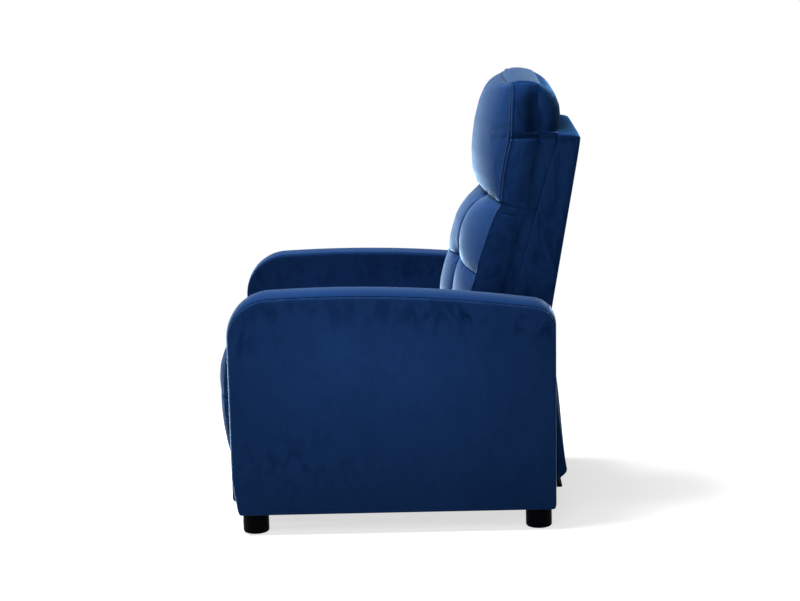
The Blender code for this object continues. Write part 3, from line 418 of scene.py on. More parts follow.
def arm_band(name, side, mat):
    """The strip as one closed loft. BAND_CROWN gives its fall towards the seams, in shares of half its width."""
    section = [(-1.0, BAND_UNDER), (-1.0, SEAM_INSET[-1] + BAND_SEAM_DEPTH)]
    section += [(-s, share * SEAM_INSET[-1]) for s, share in BAND_CROWN[:0:-1]]
    section += [(s, share * SEAM_INSET[1]) for s, share in BAND_CROWN]
    section += [(1.0, SEAM_INSET[1] + BAND_SEAM_DEPTH), (1.0, BAND_UNDER)]
    shares = (np.linspace(0, 1, 81), np.linspace(0, 1, 121), np.linspace(0, 1, 81))
    lines = []
    for s, inset in section:
        front, top, rear, under = arm_sides(inset)
        path = np.concatenate([along(line, share) for line, share in zip((front, top, rear), shares)])
        start, stop = along(under, [0.985])[0], along(under, [0.015])[0]
        lines.append([(s, *start)] + [(s, y, z) for y, z in path] + [(s, *stop)])
    rows = list(zip(*lines))
    points, seam = [], []
    for row in rows:
        for s, y, z in row:
            points.append((side * (ARM_MID_X + s * BAND_HALF), y, z))
            # painted shade: the pile darkens over the last share of the width into each seam
            seam.append(min(1.0, max(0.0, (abs(s) - 0.965) / 0.025)))
    count = len(section)
    faces = [tuple(range(count)), tuple(range(len(points) - count, len(points)))]
    for r in range(len(rows) - 1):
        for k in range(count):
            n = (k + 1) % count
            faces.append((r * count + k, r * count + n, (r + 1) * count + n, (r + 1) * count + k))
    return new_piece(name, points, faces, mat, seam=seam)


band_velvet = velvet("velvet_band", (0.8, 0.5, 1.0), (0.3, 0.1, 0.0), 0.8, 0.5)
for suffix, side in (("left", 1), ("right", -1)):
    band = arm_band(f"arm_boxing_{suffix}", side, band_velvet)
    dress(band, "base", "velvet", f"arm_band_{suffix}")


# Feet: moulded black plastic drums, screwed up into the arm boards.
# A rounded lower edge, a shallow waist line and a screw well under each one.
FOOT_RADIUS, FOOT_HEIGHT, FOOT_EDGE, FOOT_WAIST = 0.0285, 0.0477, 0.0060, 0.0005
FOOT_SIDES = 64


def moulded_plastic(name):
    """Black plastic with a fine moulded grain and faint scuffs."""
    mat, node, wire = new_finish(name)
    place = node("ShaderNodeTexCoord").outputs["Object"]
    texture = grain_noise(node, place, 650.0, 3.0)
    scuffs = grain_noise(node, place, 70.0, 4.0, 0.8)
    wire(Base_Color=levels(node, scuffs, ((0.35, (0.0004, 0.0005, 0.0012)), (0.75, (0.0010, 0.0012, 0.0022)))),
         Roughness=between(node, scuffs, 0.40, 0.60, 0.3, 0.7), Normal=raised(node, texture, 0.0003, 0.3),
         Specular_IOR_Level=0.015)
    return mat


def turned(center, profile, sides):
    """Points and faces of a closed shape turned about an upright axis, from its lower pole to its upper."""
    points = [(center[0], center[1], profile[0][1])]
    for radius, z in profile[1:-1]:
        for k in range(sides):
            a = 2 * math.pi * k / sides
            points.append((center[0] + radius * math.cos(a), center[1] + radius * math.sin(a), z))
    points.append((center[0], center[1], profile[-1][1]))
    faces = [(0, 1 + (k + 1) % sides, 1 + k) for k in range(sides)]
    for r in range(len(profile) - 3):
        low, high = 1 + r * sides, 1 + (r + 1) * sides
        for k in range(sides):
            n = (k + 1) % sides
            faces.append((low + k, low + n, high + n, high + k))
    last = len(points) - 1
    faces += [(last, last - sides + k, last - sides + (k + 1) % sides) for k in range(sides)]
    return points, faces


foot_plastic = moulded_plastic("foot_plastic")
foot_well = [(0.0, 0.0100), (0.0048, 0.0100), (0.0050, 0.0098), (0.0052, 0.0016), (0.0060, 0.0007),
             (0.0078, 0.0)]
foot_edge = [(FOOT_RADIUS - FOOT_EDGE + r, z) for r, z in bend((0.0, FOOT_EDGE), FOOT_EDGE, -90, 0, 8)]
foot_waist = [(FOOT_RADIUS, 0.0385), (FOOT_RADIUS - FOOT_WAIST, 0.0389), (FOOT_RADIUS - FOOT_WAIST, 0.0396),
              (FOOT_RADIUS, 0.0400)]
foot_top = [(FOOT_RADIUS, 0.0466), (FOOT_RADIUS - 0.0009, FOOT_HEIGHT), (0.0, FOOT_HEIGHT)]
foot_profile = foot_well + foot_edge + foot_waist + foot_top
for node_name in ("front_foot_left", "front_foot_right", "rear_foot_left", "rear_foot_right"):
    low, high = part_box(node_name)
    points, faces = turned(((low.x + high.x) / 2, (low.y + high.y) / 2), foot_profile, FOOT_SIDES)
    foot = new_piece(f"moulded_{node_name}", points, faces, foot_plastic)
    foot.data.set_sharp_from_angle(angle=0.7)
    dress(foot, "base", "foot_plastic", node_name)


# Front rail: a low timber rail between the arms, wrapped in velvet and stapled behind.
# The folded footrest hangs just above it.
def grid_lines(count, ease, extra=()):
    """Lines from -1 to 1 that crowd at both ends, with extra lines added."""
    return np.unique(np.concatenate([2 * eased(count, ease) - 1, np.asarray(extra, float)]).round(5))


def edge_round(t, reach):
    """Swell across a width: 1 inside, falling to 0 in a quarter round over the last reach of each side."""
    near = np.clip((1 - np.abs(t)) / reach, 0.0, 1.0)
    return np.sqrt(np.maximum(0.0, 1 - (1 - near) ** 2))


# reach of the painted shade that darkens the pile along every sewn border
SEAM_SHADE = 0.0015


class Boxed:
    """Boxed cushion: a face panel and an under panel over one grid, joined round the sides by boxing.

    face and under give the depth at grids of (u, v), and place turns (u, v, depth) into points. bulge gives
    the boxing's outward shift in metres at (share of the depth, u, v), for the rings at shares, and sewn a share
    of painted seam shade on the face at (u, v). corner draws the four corners in, and low_corner scales that
    at the foot.
    """

    def __init__(self, us, vs, halves, place, face, under, bulge, shares, corner=0.0, low_corner=1.0,
                 sewn=None):
        """Lays out the points of both panels and of the boxing rings, and their shares of painted seam shade."""
        self.us, self.vs = us, vs
        u, v = np.meshgrid(us, vs, indexing="ij")
        pull = np.abs(u * v) ** 10 * np.where(v < 0, low_corner, 1.0)
        self.u = u * (1 - corner / halves[0] * pull)
        self.v = v * (1 - corner / halves[1] * pull)
        last_u, last_v = len(us) - 1, len(vs) - 1
        self.loop = ([(i, 0) for i in range(last_u)] + [(last_u, j) for j in range(last_v)]
                     + [(i, last_v) for i in range(last_u, 0, -1)]
                     + [(0, j) for j in range(last_v, 0, -1)])
        depth, base = face(self.u, self.v), under(self.u, self.v)
        front, back = place(self.u, self.v, depth), place(self.u, self.v, base)
        border = np.array([(self.u[k] * halves[0], self.v[k] * halves[1]) for k in self.loop])
        tangent = np.roll(border, -1, axis=0) - np.roll(border, 1, axis=0)
        length = np.linalg.norm(tangent, axis=1)[:, None]
        out = np.stack([tangent[:, 1], -tangent[:, 0]], axis=1) / length
        bu, bv = border[:, 0] / halves[0], border[:, 1] / halves[1]
        top = np.array([depth[k] for k in self.loop])
        low = np.array([base[k] for k in self.loop])
        rings, ring_seam = [], []
        for share in shares:
            shift = bulge(share, bu, bv)
            ring = place(bu + out[:, 0] * shift / halves[0], bv + out[:, 1] * shift / halves[1],
                         top + (low - top) * share)
            rings.append(ring)
            # painted shade: the pile darkens within SEAM_SHADE of every sewn border, on the panels and at both
            # ends of the boxing
            reach = np.minimum(share, 1 - share) * np.abs(low - top)
            ring_seam.append(np.exp(-(reach / SEAM_SHADE) ** 2))
        edge = np.minimum((1 - np.abs(u)) * halves[0], (1 - np.abs(v)) * halves[1])
        seam = np.exp(-(edge / SEAM_SHADE) ** 2)
        face_seam = seam if sewn is None else np.maximum(seam, sewn(self.u, self.v))
        self.points = np.concatenate([front.reshape(-1, 3), back.reshape(-1, 3)] + rings)
        self.seam = np.concatenate([face_seam.ravel(), seam.ravel()] + ring_seam)
        self.faces, self.rings = [], len(rings)

    def front(self, i, j):
        """Number of a point of the face panel."""
        return i * len(self.vs) + j

    def rear(self, i, j):
        """Number of a point of the under panel."""
        return len(self.us) * len(self.vs) + self.front(i, j)

    def ring(self, r, k):
        """Number of a point of the boxing."""
        return 2 * len(self.us) * len(self.vs) + r * len(self.loop) + k % len(self.loop)

    def sheet(self, index):
        """Faces of one panel, whose points index numbers."""
        for i in range(len(self.us) - 1):
            for j in range(len(self.vs) - 1):
                self.faces.append((index(i, j), index(i + 1, j), index(i + 1, j + 1), index(i, j + 1)))

    def boxing(self, skip=None):
        """Faces round the sides. Those between two border places that skip names are left open."""
        for k, here in enumerate(self.loop):
            there = self.loop[(k + 1) % len(self.loop)]
            if skip is not None and skip(here) and skip(there):
                continue
            chain = [(self.front(*here), self.front(*there))]
            chain += [(self.ring(r, k), self.ring(r, k + 1)) for r in range(self.rings)]
            chain.append((self.rear(*here), self.rear(*there)))
            self.faces += [(a, b, d, c) for (a, b), (c, d) in zip(chain, chain[1:])]

    def held(self):
        """Points that stay put when the cover swells: the face panel's border and the whole under panel."""
        return [self.front(*k) for k in self.loop] + [self.rear(i, j) for i in range(len(self.us))
                                                      for j in range(len(self.vs))]

    def piece(self, name, mat, side_mat=None, lit=None, sunk=2.0, **marks):
        """The whole cushion. With side_mat, a duller and darker copy of mat, mat stays on the face panel, less its
        lines sewn deeper than sunk, and on the boxing where lit says so of a point; side_mat elsewhere is painted
        shade.
        """
        self.sheet(self.front)
        panel = len(self.faces)
        self.sheet(self.rear)
        both = len(self.faces)
        self.boxing()
        made = new_piece(name, self.points, self.faces, mat, seam=self.seam, **marks)
        if side_mat is not None:
            made.data.materials.append(side_mat)
            for k, face in enumerate(made.data.polygons):
                if k < panel:
                    # painted shade: faces along the deeper sewn lines take the duller, darker copy
                    face.material_index = int(np.mean(self.seam[list(face.vertices)]) > sunk)
                else:
                    # painted light and shade: lit boxing faces keep the bright copy, the rest and the under panel
                    # take the dull one
                    face.material_index = int(k < both or lit is None or not lit(face.center))
        return made


rail_low, rail_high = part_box("front_rail")
rail_half = (rail_high - rail_low) / 2
RAIL_ROLL = 0.006


def upright(low_z, high_z, half_width):
    """Place function for a cushion that stands across the chair, its depth along Y."""
    middle, half_height = (low_z + high_z) / 2, (high_z - low_z) / 2
    return lambda u, v, w: np.stack([u * half_width, w, middle + v * half_height], axis=-1)


def level(depth):
    """Under panel that lies flat."""
    return lambda u, v: np.full_like(u, depth)


def even(shift):
    """Boxing that stands out alike all round, and the same all along its depth."""
    return lambda t, u, v: np.full_like(u, shift)


def rail_face(u, v):
    """Front of the rail, rolled back along its edges."""
    return rail_low.y + RAIL_ROLL - RAIL_ROLL * edge_round(v, 0.35) * edge_round(u, 0.02)


rail_velvet = velvet("velvet_rail", (0.4, 1.0, 1.0), (0.7, 0.2, 0.4), 0.8, 0.15)
front_rail = Boxed(grid_lines(60, 0.6), grid_lines(16, 0.6), (rail_half.x, rail_half.z),
                   upright(rail_low.z, rail_high.z, rail_half.x), rail_face, level(rail_high.y), even(-0.0006),
                   (0.25, 0.5, 0.75)).piece("front_rail_cover", rail_velvet)
dress(front_rail, "base", "velvet", "front_rail")


# Links and plates: stamped steel, dipped in black-grey paint, turning on rivets.
# The paint is rubbed thin on the rivet heads, which are pressed domes over the pins.
def painted_steel(name, dark, light, rough):
    """Mottled painted steel, with fine peel and a few scratches to the bare metal."""
    mat, node, wire = new_finish(name)
    place = node("ShaderNodeTexCoord").outputs["Object"]
    mottled = grain_noise(node, place, 60.0, 4.0, 0.5)
    peel = grain_noise(node, place, 900.0, 2.0)
    rubbed = node("ShaderNodeMapping", {"Vector": place, "Scale": (1.0, 1.0, 14.0)}).outputs["Vector"]
    scratches = grain_noise(node, rubbed, 90.0, 5.0)
    color = levels(node, mottled, ((0.35, dark), (0.70, light)))
    bare = levels(node, scratches, ((0.68, (1.0, 1.0, 1.0)), (0.74, (2.6, 2.6, 2.6))))
    wire(Base_Color=blended(node, 1.0, color, bare, "MULTIPLY"), Metallic=0.75,
         Roughness=between(node, mottled, rough - 0.08, rough + 0.12, 0.3, 0.7),
         Normal=raised(node, peel, 0.0002, 0.4))
    return mat


link_paint = painted_steel("link_paint", (0.045, 0.046, 0.050), (0.080, 0.081, 0.086), 0.42)
rivet_steel = painted_steel("rivet_steel", (0.30, 0.30, 0.31), (0.46, 0.46, 0.47), 0.34)
for kind in ("base_plate", "front_swing_link", "rear_swing_link", "back_drive_link", "footrest_drive_link",
             "seat_plate", "footrest_main_link", "footrest_guide_link", "footrest_carrier_link",
             "footrest_tilt_link", "footrest_bracket", "back_bracket"):
    finish_nodes(link_paint, f"{kind}_left", f"{kind}_right")


def node_group(name, inputs):
    """Geometry tree with a geometry input and named number inputs, and short ways to add nodes and to end it."""
    tree = bpy.data.node_groups.new(name, "GeometryNodeTree")
    tree.interface.new_socket("Geometry", in_out="INPUT", socket_type="NodeSocketGeometry")
    tree.interface.new_socket("Geometry", in_out="OUTPUT", socket_type="NodeSocketGeometry")
    for key in inputs:
        tree.interface.new_socket(key, in_out="INPUT", socket_type="NodeSocketFloat")
    tree.interface.new_socket("Finish", in_out="INPUT", socket_type="NodeSocketMaterial")
    node = node_adder(tree)
    start = node("NodeGroupInput")

    def close(geometry):
        real = node("GeometryNodeRealizeInstances", {"Geometry": geometry}).outputs["Geometry"]
        coated = node("GeometryNodeSetMaterial", {"Geometry": real, "Material": start.outputs["Finish"]})
        node("NodeGroupOutput", {"Geometry": coated.outputs["Geometry"]})

    return tree, start.outputs, node, close


def grown(name, carrier, tree, mat, **sizes):
    """Plain mesh from a geometry tree on a carrier object, which is then removed."""
    modifier = carrier.modifiers.new("grow", "NODES")
    modifier.node_group = tree
    for item in tree.interface.items_tree:
        if item.in_out == "INPUT" and item.name in sizes:
            modifier[item.identifier] = sizes[item.name]
        if item.in_out == "INPUT" and item.name == "Finish":
            modifier[item.identifier] = mat
    shown = carrier.evaluated_get(bpy.context.evaluated_depsgraph_get())
    mesh = bpy.data.meshes.new_from_object(shown)
    mesh.name = name
    mesh.shade_smooth()
    bpy.data.objects.remove(carrier)
    return put(name, mesh)


rivet_tree, rivet_in, rivet_node, rivet_close = node_group("rivet_heads", ("Radius", "Dome"))
rivet_ball = rivet_node("GeometryNodeMeshUVSphere", {"Segments": 20, "Rings": 10,
                                                     "Radius": rivet_in["Radius"]})
rivet_scale = rivet_node("ShaderNodeCombineXYZ", {"X": rivet_in["Dome"], "Y": 1.0, "Z": 1.0})
rivet_head = rivet_node("GeometryNodeTransform", {"Geometry": rivet_ball.outputs["Mesh"],
                                                  "Scale": rivet_scale.outputs["Vector"]})
rivet_set = rivet_node("GeometryNodeInstanceOnPoints", {"Points": rivet_in["Geometry"],
                                                        "Instance": rivet_head.outputs["Geometry"]})
rivet_close(rivet_set.outputs["Instances"])
PLATE_OUTER_X, PLATE_PITCH, PLATE_THICK, PLATE_GAP = 0.2447, 0.0038, 0.003, 0.0008
RIVET_RADIUS, RIVET_DOME, RIVET_STAND = 0.0064, 0.34, 0.0014
# for each body: layer of plates, counted from the arm, and (Y, Z) of the pin
rivets = {
    "base": ((1, -0.16, 0.125), (1, 0.0, 0.125), (2, 0.104, 0.102)),
    "front_links": ((3, -0.105, 0.220263),),
    "rear_links": ((3, 0.055, 0.220263),),
    "seat": ((4, -0.27, 0.30), (4, -0.311545, 0.317293), (4, 0.13, 0.335)),
    "footrest_main": ((5, -0.20, 0.13), (5, -0.202, 0.175)),
    "footrest_guide": ((5, -0.241545, 0.147293),),
    "footrest_carrier": ((6, -0.315, 0.235),),
    "footrest_tilt": ((6, -0.317, 0.28),),
}
for body, spots in rivets.items():
    heads = bpy.data.meshes.new("rivet_spots")
    tips = [(side * (PLATE_OUTER_X - layer * PLATE_PITCH - PLATE_THICK - PLATE_GAP / 2 - RIVET_STAND), y, z)
            for layer, y, z in spots for side in (1, -1)]
    heads.from_pydata(tips, [], [])
    domes = grown(f"rivets_{body}", put("rivet_spots", heads), rivet_tree, rivet_steel, Radius=RIVET_RADIUS,
                  Dome=RIVET_DOME)
    dress(domes, body, "link_steel")


# Seat springs: three zigzag wires hooked between the front and rear seat rails.
# Drawn steel wire, bent in even waves and arched a little under the cushion.
SPRING_WAVES, SPRING_SWING, SPRING_ARCH, SPRING_WIRE = 9, 0.022, 0.0045, 0.0019
spring_tree, spring_in, spring_node, spring_close = node_group("zigzag_wire", ("Radius",))
spring_round = spring_node("GeometryNodeCurvePrimitiveCircle", {"Resolution": 10,
                                                                "Radius": spring_in["Radius"]})
spring_tube = spring_node("GeometryNodeCurveToMesh", {"Curve": spring_in["Geometry"], "Fill Caps": True,
                                                      "Profile Curve": spring_round.outputs["Curve"]})
spring_close(spring_tube.outputs["Mesh"])
spring_steel = painted_steel("spring_wire", (0.36, 0.36, 0.37), (0.50, 0.50, 0.51), 0.30)


def line_curve(name, lines):
    """Curve object with one open line for each list of points."""
    curve = bpy.data.curves.new(name, "CURVE")
    curve.dimensions = "3D"
    for points in lines:
        line = curve.splines.new("POLY")
        line.points.add(len(points) - 1)
        for spot, p in zip(line.points, points):
            spot.co = (*p, 1.0)
    return put(name, curve)


for number in (1, 2, 3):
    low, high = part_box(f"seat_spring_{number}")
    middle, base_z = (low.x + high.x) / 2, low.z + SPRING_WIRE
    t = np.linspace(0.0, 1.0, 220)
    fade = np.minimum(1.0, np.minimum(6 * t, 6 * (1 - t)))
    waves = np.sin(math.pi * SPRING_WAVES * t)
    sway = SPRING_SWING * np.sign(waves) * np.abs(waves) ** 0.75 * fade
    path = np.stack([middle + sway, low.y + (high.y - low.y) * t,
                     base_z + SPRING_ARCH * np.sin(math.pi * t)], axis=1)
    spring = grown(f"zigzag_spring_{number}", line_curve("spring_line", [path]), spring_tree, spring_steel,
                   Radius=SPRING_WIRE)
    dress(spring, "seat", "spring_wire", f"seat_spring_{number}")


# Seat cushion: a foam block in a sewn velvet cover, with a crowned top panel and boxing round its sides.
# It sits on the seat frame and the zigzag springs, and a velvet strip below it hides the front rail.
def settle(obj, pinned, slack, pressure, cap, frames=20):
    """Lets the cover swell between its pinned seams as cloth, no point further than cap, and keeps the result."""
    scene = bpy.context.scene
    trial = put("trial", obj.data.copy())
    trial.vertex_groups.new(name="sewn").add([int(k) for k in pinned], 1.0, "REPLACE")
    cloth = trial.modifiers.new("cloth", "CLOTH")
    cover = cloth.settings
    cover.quality = 6
    cover.mass = 0.25
    cover.tension_stiffness = cover.compression_stiffness = 12.0
    cover.shear_stiffness = 6.0
    cover.bending_stiffness = 0.6
    cover.vertex_group_mass = "sewn"
    cover.shrink_min = -slack
    cover.use_pressure = True
    cover.uniform_pressure_force = pressure
    cover.effector_weights.gravity = 0.0
    cloth.collision_settings.use_collision = False
    for number in range(1, frames + 1):
        scene.frame_set(number)
    shown = trial.evaluated_get(bpy.context.evaluated_depsgraph_get())
    count = len(obj.data.vertices)
    start, stop = np.zeros(count * 3), np.zeros(count * 3)
    obj.data.vertices.foreach_get("co", start)
    shown.data.vertices.foreach_get("co", stop)
    move = (stop - start).reshape(-1, 3)
    length = np.linalg.norm(move, axis=1, keepdims=True)
    move *= np.minimum(1.0, cap / np.maximum(length, 1e-9))
    obj.data.vertices.foreach_set("co", start + move.ravel())
    obj.data.update()
    mesh = trial.data
    bpy.data.objects.remove(trial)
    bpy.data.meshes.remove(mesh)
    scene.frame_set(1)


def swell(t, power=3.0, flatness=0.55):
    """Cushion swell across a width: 1 in the middle, 0 at both edges."""
    return np.maximum(0.0, 1 - np.abs(t) ** power) ** flatness


seat_low, seat_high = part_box("seat_cushion")
SEAT_EDGE_Z, SEAT_SWELL, SEAT_CLEAR, SEAT_BOXING_SWELL = 0.414, 0.034, 0.002, 0.003
seat_half = ((seat_high.x - seat_low.x) / 2 - SEAT_CLEAR, (seat_high.y - seat_low.y) / 2 - SEAT_CLEAR)


def seat_place(u, v, w):
    """The cushion lies flat, its depth along Z."""
    return np.stack([u * seat_half[0], (seat_low.y + seat_high.y) / 2 + v * seat_half[1], w], axis=-1)


def seat_face(u, v):
    """Crowned top panel."""
    return SEAT_EDGE_Z + SEAT_SWELL * swell(u, 3.2, 0.5) * swell(v, 3.2, 0.5)


seat_velvet = velvet("velvet_seat", (0.9, 0.6, 1.0), (0.2, 0.5, 0.1))
seat = Boxed(grid_lines(64, 0.72), grid_lines(60, 0.72), seat_half, seat_place, seat_face,
             level(seat_low.z + 0.0005), lambda t, u, v: np.full_like(u, SEAT_BOXING_SWELL * np.sin(math.pi * t)),
             (0.06, 0.16, 0.3, 0.45, 0.6, 0.75, 0.9), corner=0.010)
seat_cushion = seat.piece("seat_cushion_cover", seat_velvet)
settle(seat_cushion, seat.held(), slack=0.02, pressure=1.5, cap=0.006)
dress(seat_cushion, "seat", "velvet", "seat_cushion")


STRIP_HALF, STRIP_LOW_Z, STRIP_TOP_Z = 0.2305, 0.3365, 0.3598
STRIP_FRONT_Y, STRIP_REAR_Y, STRIP_ROLL = -0.3287, -0.3254, 0.0012


def strip_face(u, v):
    """Front of the strip, rolled back along its edges."""
    return STRIP_FRONT_Y + STRIP_ROLL * (1 - edge_round(v, 0.4) * edge_round(u, 0.01))


seat_strip = Boxed(grid_lines(60, 0.7), grid_lines(10, 0.4), (STRIP_HALF, (STRIP_TOP_Z - STRIP_LOW_Z) / 2),
                   upright(STRIP_LOW_Z, STRIP_TOP_Z, STRIP_HALF), strip_face, level(STRIP_REAR_Y), even(0.0),
                   (0.5,)).piece("seat_front_strip", seat_velvet)
dress(seat_strip, "seat", "velvet")


# Footrest pad: foam on the footrest board in a velvet cover, with one sewn channel across it.
# The board is wrapped in the same velvet, and both covers are stapled behind.
def traced(profile, spread=0.008):
    """Smooth curve through (height, depth) pairs."""
    heights, depths = (np.array(column) for column in zip(*profile))
    steps = np.linspace(-spread, spread, 9)
    return lambda z: np.mean([np.interp(z + s, heights, depths) for s in steps], axis=0)


def groove(distance, width):
    """Share of a soft groove's depth at a distance from its line."""
    return np.exp(-(distance / width) ** 2)


pad_low, pad_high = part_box("footrest_pad")
pad_half = ((pad_high.x - pad_low.x) / 2, (pad_high.z - pad_low.z) / 2)
PAD_CHANNEL_Z, PAD_CHANNEL_DEPTH, PAD_CHANNEL_FADE = 0.2905, 0.004, 0.05
PAD_EDGE_Y, PAD_BOXING_SWELL = -0.372, 0.0016
pad_front = traced(((0.116, -0.374), (0.14, -0.3785), (0.165, -0.3855), (0.182, -0.392), (0.22, -0.3996),
                    (0.25, -0.4024), (0.273, -0.4042), (0.30, -0.4048), (0.326, -0.4045), (0.352, -0.4014),
                    (0.367, -0.3965), (0.378, -0.3926), (0.390, -0.3870), (0.397, -0.3832), (0.402, -0.379)),
                   0.006)


def pad_height(v):
    """Height of a row of the pad's grid."""
    return (pad_low.z + pad_high.z) / 2 + v * (pad_high.z - pad_low.z) / 2


def pad_channel(u, v):
    """Sewn line of the channel, which drops a little at both ends."""
    drop = PAD_CHANNEL_Z - 0.004 * np.abs(u) ** 6
    return groove(pad_height(v) - drop, 0.0035) * edge_round(u, PAD_CHANNEL_FADE)


def pad_face(u, v):
    """Full front traced from the side, drawn in along the channel."""
    z = pad_height(v)
    crown = pad_front(z) - PAD_EDGE_Y
    soft = groove(z - PAD_CHANNEL_Z, 0.020) * edge_round(u, PAD_CHANNEL_FADE)
    return PAD_EDGE_Y + crown * swell(u, 5.0, 0.5) * edge_round(v, 0.10) + PAD_CHANNEL_DEPTH * (
        0.55 * pad_channel(u, v) + 0.45 * soft)


def pad_bulge(t, u, v):
    """Boxing that stands fullest half way back."""
    return np.full_like(u, PAD_BOXING_SWELL * np.sin(math.pi * t) - PAD_BOXING_SWELL)


def pad_sewn(u, v):
    """Painted shade along the channel's seam."""
    return groove(pad_height(v) - PAD_CHANNEL_Z, 0.0024) * edge_round(u, PAD_CHANNEL_FADE)


pad_velvet = velvet("velvet_footrest", (0.8, 1.0, 0.6), (0.4, 0.9, 0.3), 0.9, 0.15)
pad_rows = (PAD_CHANNEL_Z + np.arange(-4, 5) * 0.0016 - pad_height(0.0)) / (pad_high.z - pad_height(0.0))
pad = Boxed(grid_lines(72, 0.75), grid_lines(56, 0.6, pad_rows), pad_half,
            upright(pad_low.z, pad_high.z, pad_half[0]), pad_face, level(pad_high.y), pad_bulge,
            (0.08, 0.2, 0.35, 0.5, 0.65, 0.8, 0.92), corner=0.012, sewn=pad_sewn)
footrest_pad = pad.piece("footrest_cover", pad_velvet)
pad_stitched = [j for j, v in enumerate(pad.vs) if abs(pad_height(v) - PAD_CHANNEL_Z) < 0.0012]
pad_pins = pad.held() + [pad.front(i, j) for i in range(len(pad.us)) for j in pad_stitched]
settle(footrest_pad, pad_pins, slack=0.004, pressure=4.0, cap=0.002)
dress(footrest_pad, "footrest", "velvet", "footrest_pad")
board_low, board_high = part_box("footrest_board")
board_half = ((board_high.x - board_low.x) / 2, (board_high.z - board_low.z) / 2)
BOARD_EDGE = 0.0025


def board_fall(u, v):
    """How far the wrapped board's faces draw back along its edges."""
    return BOARD_EDGE * (1 - edge_round(u, 0.012) * edge_round(v, 0.02))


footrest_board = Boxed(grid_lines(48, 0.75), grid_lines(36, 0.7), board_half,
                       upright(board_low.z, board_high.z, board_half[0]),
                       lambda u, v: board_low.y + board_fall(u, v), lambda u, v: board_high.y - board_fall(u, v),
                       even(0.0), (0.25, 0.5, 0.75), corner=0.005).piece("footrest_board_cover", pad_velvet)
dress(footrest_board, "footrest", "velvet", "footrest_board")


# Lumbar cushion: a fibre-filled velvet front, sewn through in columns and rows into soft cells.
# It is boxed at the sides and drawn onto the front of the back frame with a set-in strip.
BACK_SEAM_Y, BACK_SEAM_Z, BACK_SEAM_LEAN, BACK_SEAM_CLEAR = 0.258, 0.511, 0.290, 0.0003
lumbar_low, lumbar_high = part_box("lumbar_cushion")
LUMBAR_HALF, LUMBAR_COLUMN_X, LUMBAR_HEAD_TUCK = 0.240, 0.100, 0.008
lumbar_high.z += LUMBAR_HEAD_TUCK
CREASE_Y, CREASE_Z, CREASE_FALL = 0.205, 0.7205, 0.27
LUMBAR_ROW_Z, LUMBAR_HIGH_ROW_Z, LUMBAR_LOW_ROW_Z = 0.576, 0.712, 0.432
LUMBAR_ROW_DIP, LUMBAR_GRID_STEP = 0.17, 0.0018
SIDE_CREASE_Z, SIDE_LOW_CREASE_Z = 0.7135, 0.6920
lumbar_middle = traced(((0.40, 0.100), (0.45, 0.095), (0.482, 0.096), (0.505, 0.098), (0.538, 0.106),
                        (0.572, 0.116), (0.613, 0.124), (0.658, 0.138), (0.694, 0.164), (0.708, 0.180),
                        (0.718, 0.198), (0.728, 0.222)))
lumbar_column = traced(((0.40, 0.130), (0.45, 0.123), (0.50, 0.125), (0.54, 0.131), (0.576, 0.138),
                        (0.612, 0.141), (0.642, 0.146), (0.674, 0.160), (0.699, 0.182), (0.710, 0.198),
                        (0.718, 0.212), (0.728, 0.232)))
lumbar_side = traced(((0.40, 0.158), (0.45, 0.160), (0.517, 0.165), (0.571, 0.179), (0.643, 0.205),
                      (0.700, 0.2255), (0.716, 0.234), (0.728, 0.246)))
strip_seam = traced(((0.40, 0.197), (0.523, 0.233), (0.61, 0.260), (0.693, 0.283), (0.77, 0.300),
                     (0.86, 0.318)))


def back_seam(z):
    """Depth of the straight seam between the cushions and the back cover."""
    return BACK_SEAM_Y + BACK_SEAM_LEAN * (z - BACK_SEAM_Z)


def crease_drop(y, z):
    """How far the crease between lumbar cushion and pillow runs down, towards the rear at the sides."""
    return CREASE_FALL * np.maximum(0.0, y - CREASE_Y) * groove(z - CREASE_Z, 0.05)


def seam_behind(z):
    """Depth of the seam with the back cover, once the sloping crease has carried the height down."""
    return back_seam(z - crease_drop(back_seam(z), z))


def lumbar_place(u, v, w):
    """The cushion stands across the chair, and its top follows the sloping crease."""
    z = lumbar_height(v)
    return np.stack([u * LUMBAR_HALF, w, z - crease_drop(w, z)], axis=-1)


def lumbar_height(v):
    """Height of a row of the cushion's grid."""
    return (lumbar_low.z + lumbar_high.z) / 2 + v * (lumbar_high.z - lumbar_low.z) / 2


def lumbar_rows(x):
    """Heights of the three sewn rows, which dip towards the sides."""
    dip = LUMBAR_ROW_DIP * np.maximum(0.0, np.abs(x) - LUMBAR_COLUMN_X)
    return (LUMBAR_LOW_ROW_Z - dip, LUMBAR_ROW_Z - dip, LUMBAR_HIGH_ROW_Z - 0.3 * dip)


